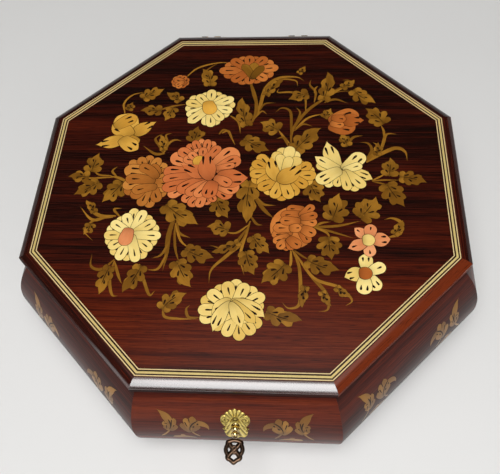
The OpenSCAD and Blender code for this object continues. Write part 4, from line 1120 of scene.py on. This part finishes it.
relief = (0.34
          + 0.40 * ridge(from_edge - 0.6, 0.40) * (1 - in_crest)
          + 0.34 * ridge(from_key - 0.55, 0.45)
          + 0.30 * (np.cos(fan_angle * 20) + 0.5) * in_crest
          + 0.32 * ridge(fan_reach - 3.0, 0.38) * (z > 56.5)
          + 0.30 * (np.cos(curl_reach * 3.6 - curl_angle + 0.6) + 0.2) * in_curl
          + 0.22 * (np.cos(vein_angle * 24) + 0.1) * in_skirt
          + 0.40 * ridge(from_stud, 0.55)
          - 0.34 * ridge(from_stud - 1.35, 0.6) * (z > 55.5)
          + 0.2 * np.sin(x * 2.6 + z * 1.6) * in_middle)
relief = np.clip(relief, 0.1, 1.02)
relief *= 1 - 0.75 * (ridge(from_edge, 0.2) + ridge(from_key, 0.2))
front_face = on_wall(0)(flat, relief + 0.06)
back_face = on_wall(0)(flat[::-13], np.full(flat[::-13].shape[:2], 0.03))
hollow = np.clip(1.25 - relief / 0.4, 0, 1)
escutcheon = mesh_of("escutcheon_casting", np.concatenate([front_face, back_face]), wrap_rows=True,
                     wrap_columns=True, closed=True, sharp=60,
                     facts={"hollow": np.concatenate([hollow, np.zeros((4, len(rim)))])[None]})
brass = cast("cast_brass", rgb(236, 212, 122), rgb(70, 50, 14), 0.18)
escutcheon.data.materials.append(brass)
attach(escutcheon, "box")
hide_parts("escutcheon")
dress(brass, "escutcheon_pins")


# Key: cast bronze, turned smooth from the shank to the ball and the small baluster. Its bow is a
# flat lattice of round bars that lies level while the bolt is drawn back.

def lathed(profile):
    """A profile of (radius, outward) pairs turned about the key's axis, which points outwards."""
    round_z = turned(profile, 40)
    return np.stack([round_z[..., 0], -round_z[..., 2], key_height + round_z[..., 1]], -1)


ball = np.linspace(-0.8, 1.05, 12)
shank_profile = np.concatenate([
    [(0, 134.9), (0.95, 134.9), (0.95, 125.9), (1.7, 125.9), (1.9, 126.1), (1.9, 149.5), (1.65, 149.8)],
    np.stack([2.55 * np.cos(ball), 151.9 + 2.55 * np.sin(ball)], -1),
    [(1.7, 154.0), (2.15, 154.3), (2.4, 154.8), (2.35, 155.3), (2.05, 156.0), (1.6, 156.7), (1.2, 157.1),
     (0, 157.2)]])
shank = mesh_of("key_turning", lathed(shank_profile), wrap_columns=True, closed=True, sharp=50)


def bar(path, wide, high, ends=True):
    """A level bar along points (across, outward): an ellipse with half axes wide and high, square to
    the path. Where the path has ends, the bar closes within its last steps."""
    facing = np.roll(path, -1, 0) - np.roll(path, 1, 0) if not ends else np.gradient(path, axis=0)
    facing /= np.linalg.norm(facing, axis=1, keepdims=True)
    angle = np.linspace(0, 2 * np.pi, 14, endpoint=False)
    grow = np.sqrt(1 - np.linspace(-1, 1, len(path)) ** 40) if ends else np.ones(len(path))
    aside = wide * np.cos(angle) * grow[:, None]
    x = path[:, :1] + aside * facing[:, 1:]
    out = path[:, 1:] - aside * facing[:, :1]
    return np.stack([x, -out, key_height + high * np.sin(angle) * grow[:, None]], -1)


bow_start = 157.21
bow_side = [(0.0, 1.31), (1.6, 1.5), (3.2, 2.0), (4.25, 2.5), (4.3, 3.6), (4.9, 5.2), (5.2, 6.6), (4.7, 8.2),
            (3.9, 9.5), (4.0, 10.9), (3.4, 11.7), (2.3, 12.1), (1.0, 13.0), (0.0, 13.65)]
bow_edge = np.array(bow_side + [(-x, out) for x, out in bow_side[-2:0:-1]] + [bow_side[0]]) + (0, bow_start)
bow_edge *= (0.925, 1)
t = np.linspace(0, 1, 24)
cross = np.stack([3.7 - 7.4 * t + 0.5 * np.sin(2 * np.pi * t), bow_start + 1.8 + 9.6 * t], -1)
turn = np.linspace(0, 2 * np.pi, 24, endpoint=False)
eye = np.stack([1.45 * np.cos(turn), bow_start + 6.6 + 1.8 * np.sin(turn)], -1)
bow_bars = [
    mesh_of("key_lattice", bar(through(bow_edge, np.linspace(0, 1, 113))[:-1], 1.3, 1.08, ends=False),
            wrap_rows=True, wrap_columns=True, closed=True),
    mesh_of("key_bar_left", bar(cross, 1.45, 0.98), wrap_columns=True, closed=True),
    mesh_of("key_bar_right", bar(cross * (-1, 1), 1.45, 0.95), wrap_columns=True, closed=True),
    mesh_of("key_eye", bar(eye, 0.95, 1.0, ends=False), wrap_rows=True, wrap_columns=True, closed=True)]
bit_sides = [np.array([(0.8, -126.1, height), (0.8, -128.9, height), (-0.8, -128.9, height),
                       (-0.8, -126.1, height)]) for height in (47.2, 51.6)]
bow_bars.append(mesh_of("key_bit", capped(bit_sides), wrap_columns=True, closed=True))
# The turned shank, ball and baluster take a lighter copy of the bronze: a painted highlight.
painted_highlight_bronze = cast("painted_highlight_bronze", rgb(196, 172, 120), rgb(40, 30, 18), 0.1)
bronze = cast("key_bronze", rgb(82, 64, 51), rgb(22, 16, 12), 0.1)
for part in (shank, *bow_bars):
    part.data.materials.append(painted_highlight_bronze if part is shank else bronze)
    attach(part, "key")
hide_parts("key_shank")
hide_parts("key_bow")


# Lid lining: a thin pad of the same red velvet, glued inside the lid within a bare wooden margin.
# It is a little crowned, and its rim is rounded.

low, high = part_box("lid_lining")
pad_edge, pad_top, pad_face = high.x / MM, high.z / MM, low.z / MM
rim_height, crown_reach = 0.4, 7
crown = np.linspace(0, 1, 12)
lid_pad = octagon_board("lid_pad", np.concatenate([
    [(0, pad_top), (pad_edge, pad_top)],
    np.stack([pad_edge - 0.2 - crown_reach * crown ** 2,
              pad_top - rim_height - (pad_top - pad_face - rim_height) * np.sin(np.pi / 2 * crown)], -1),
    [(0, pad_face)]]))
lid_pad.data.materials.append(velvet)
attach(lid_pad, "lid")
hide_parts("lid_lining")
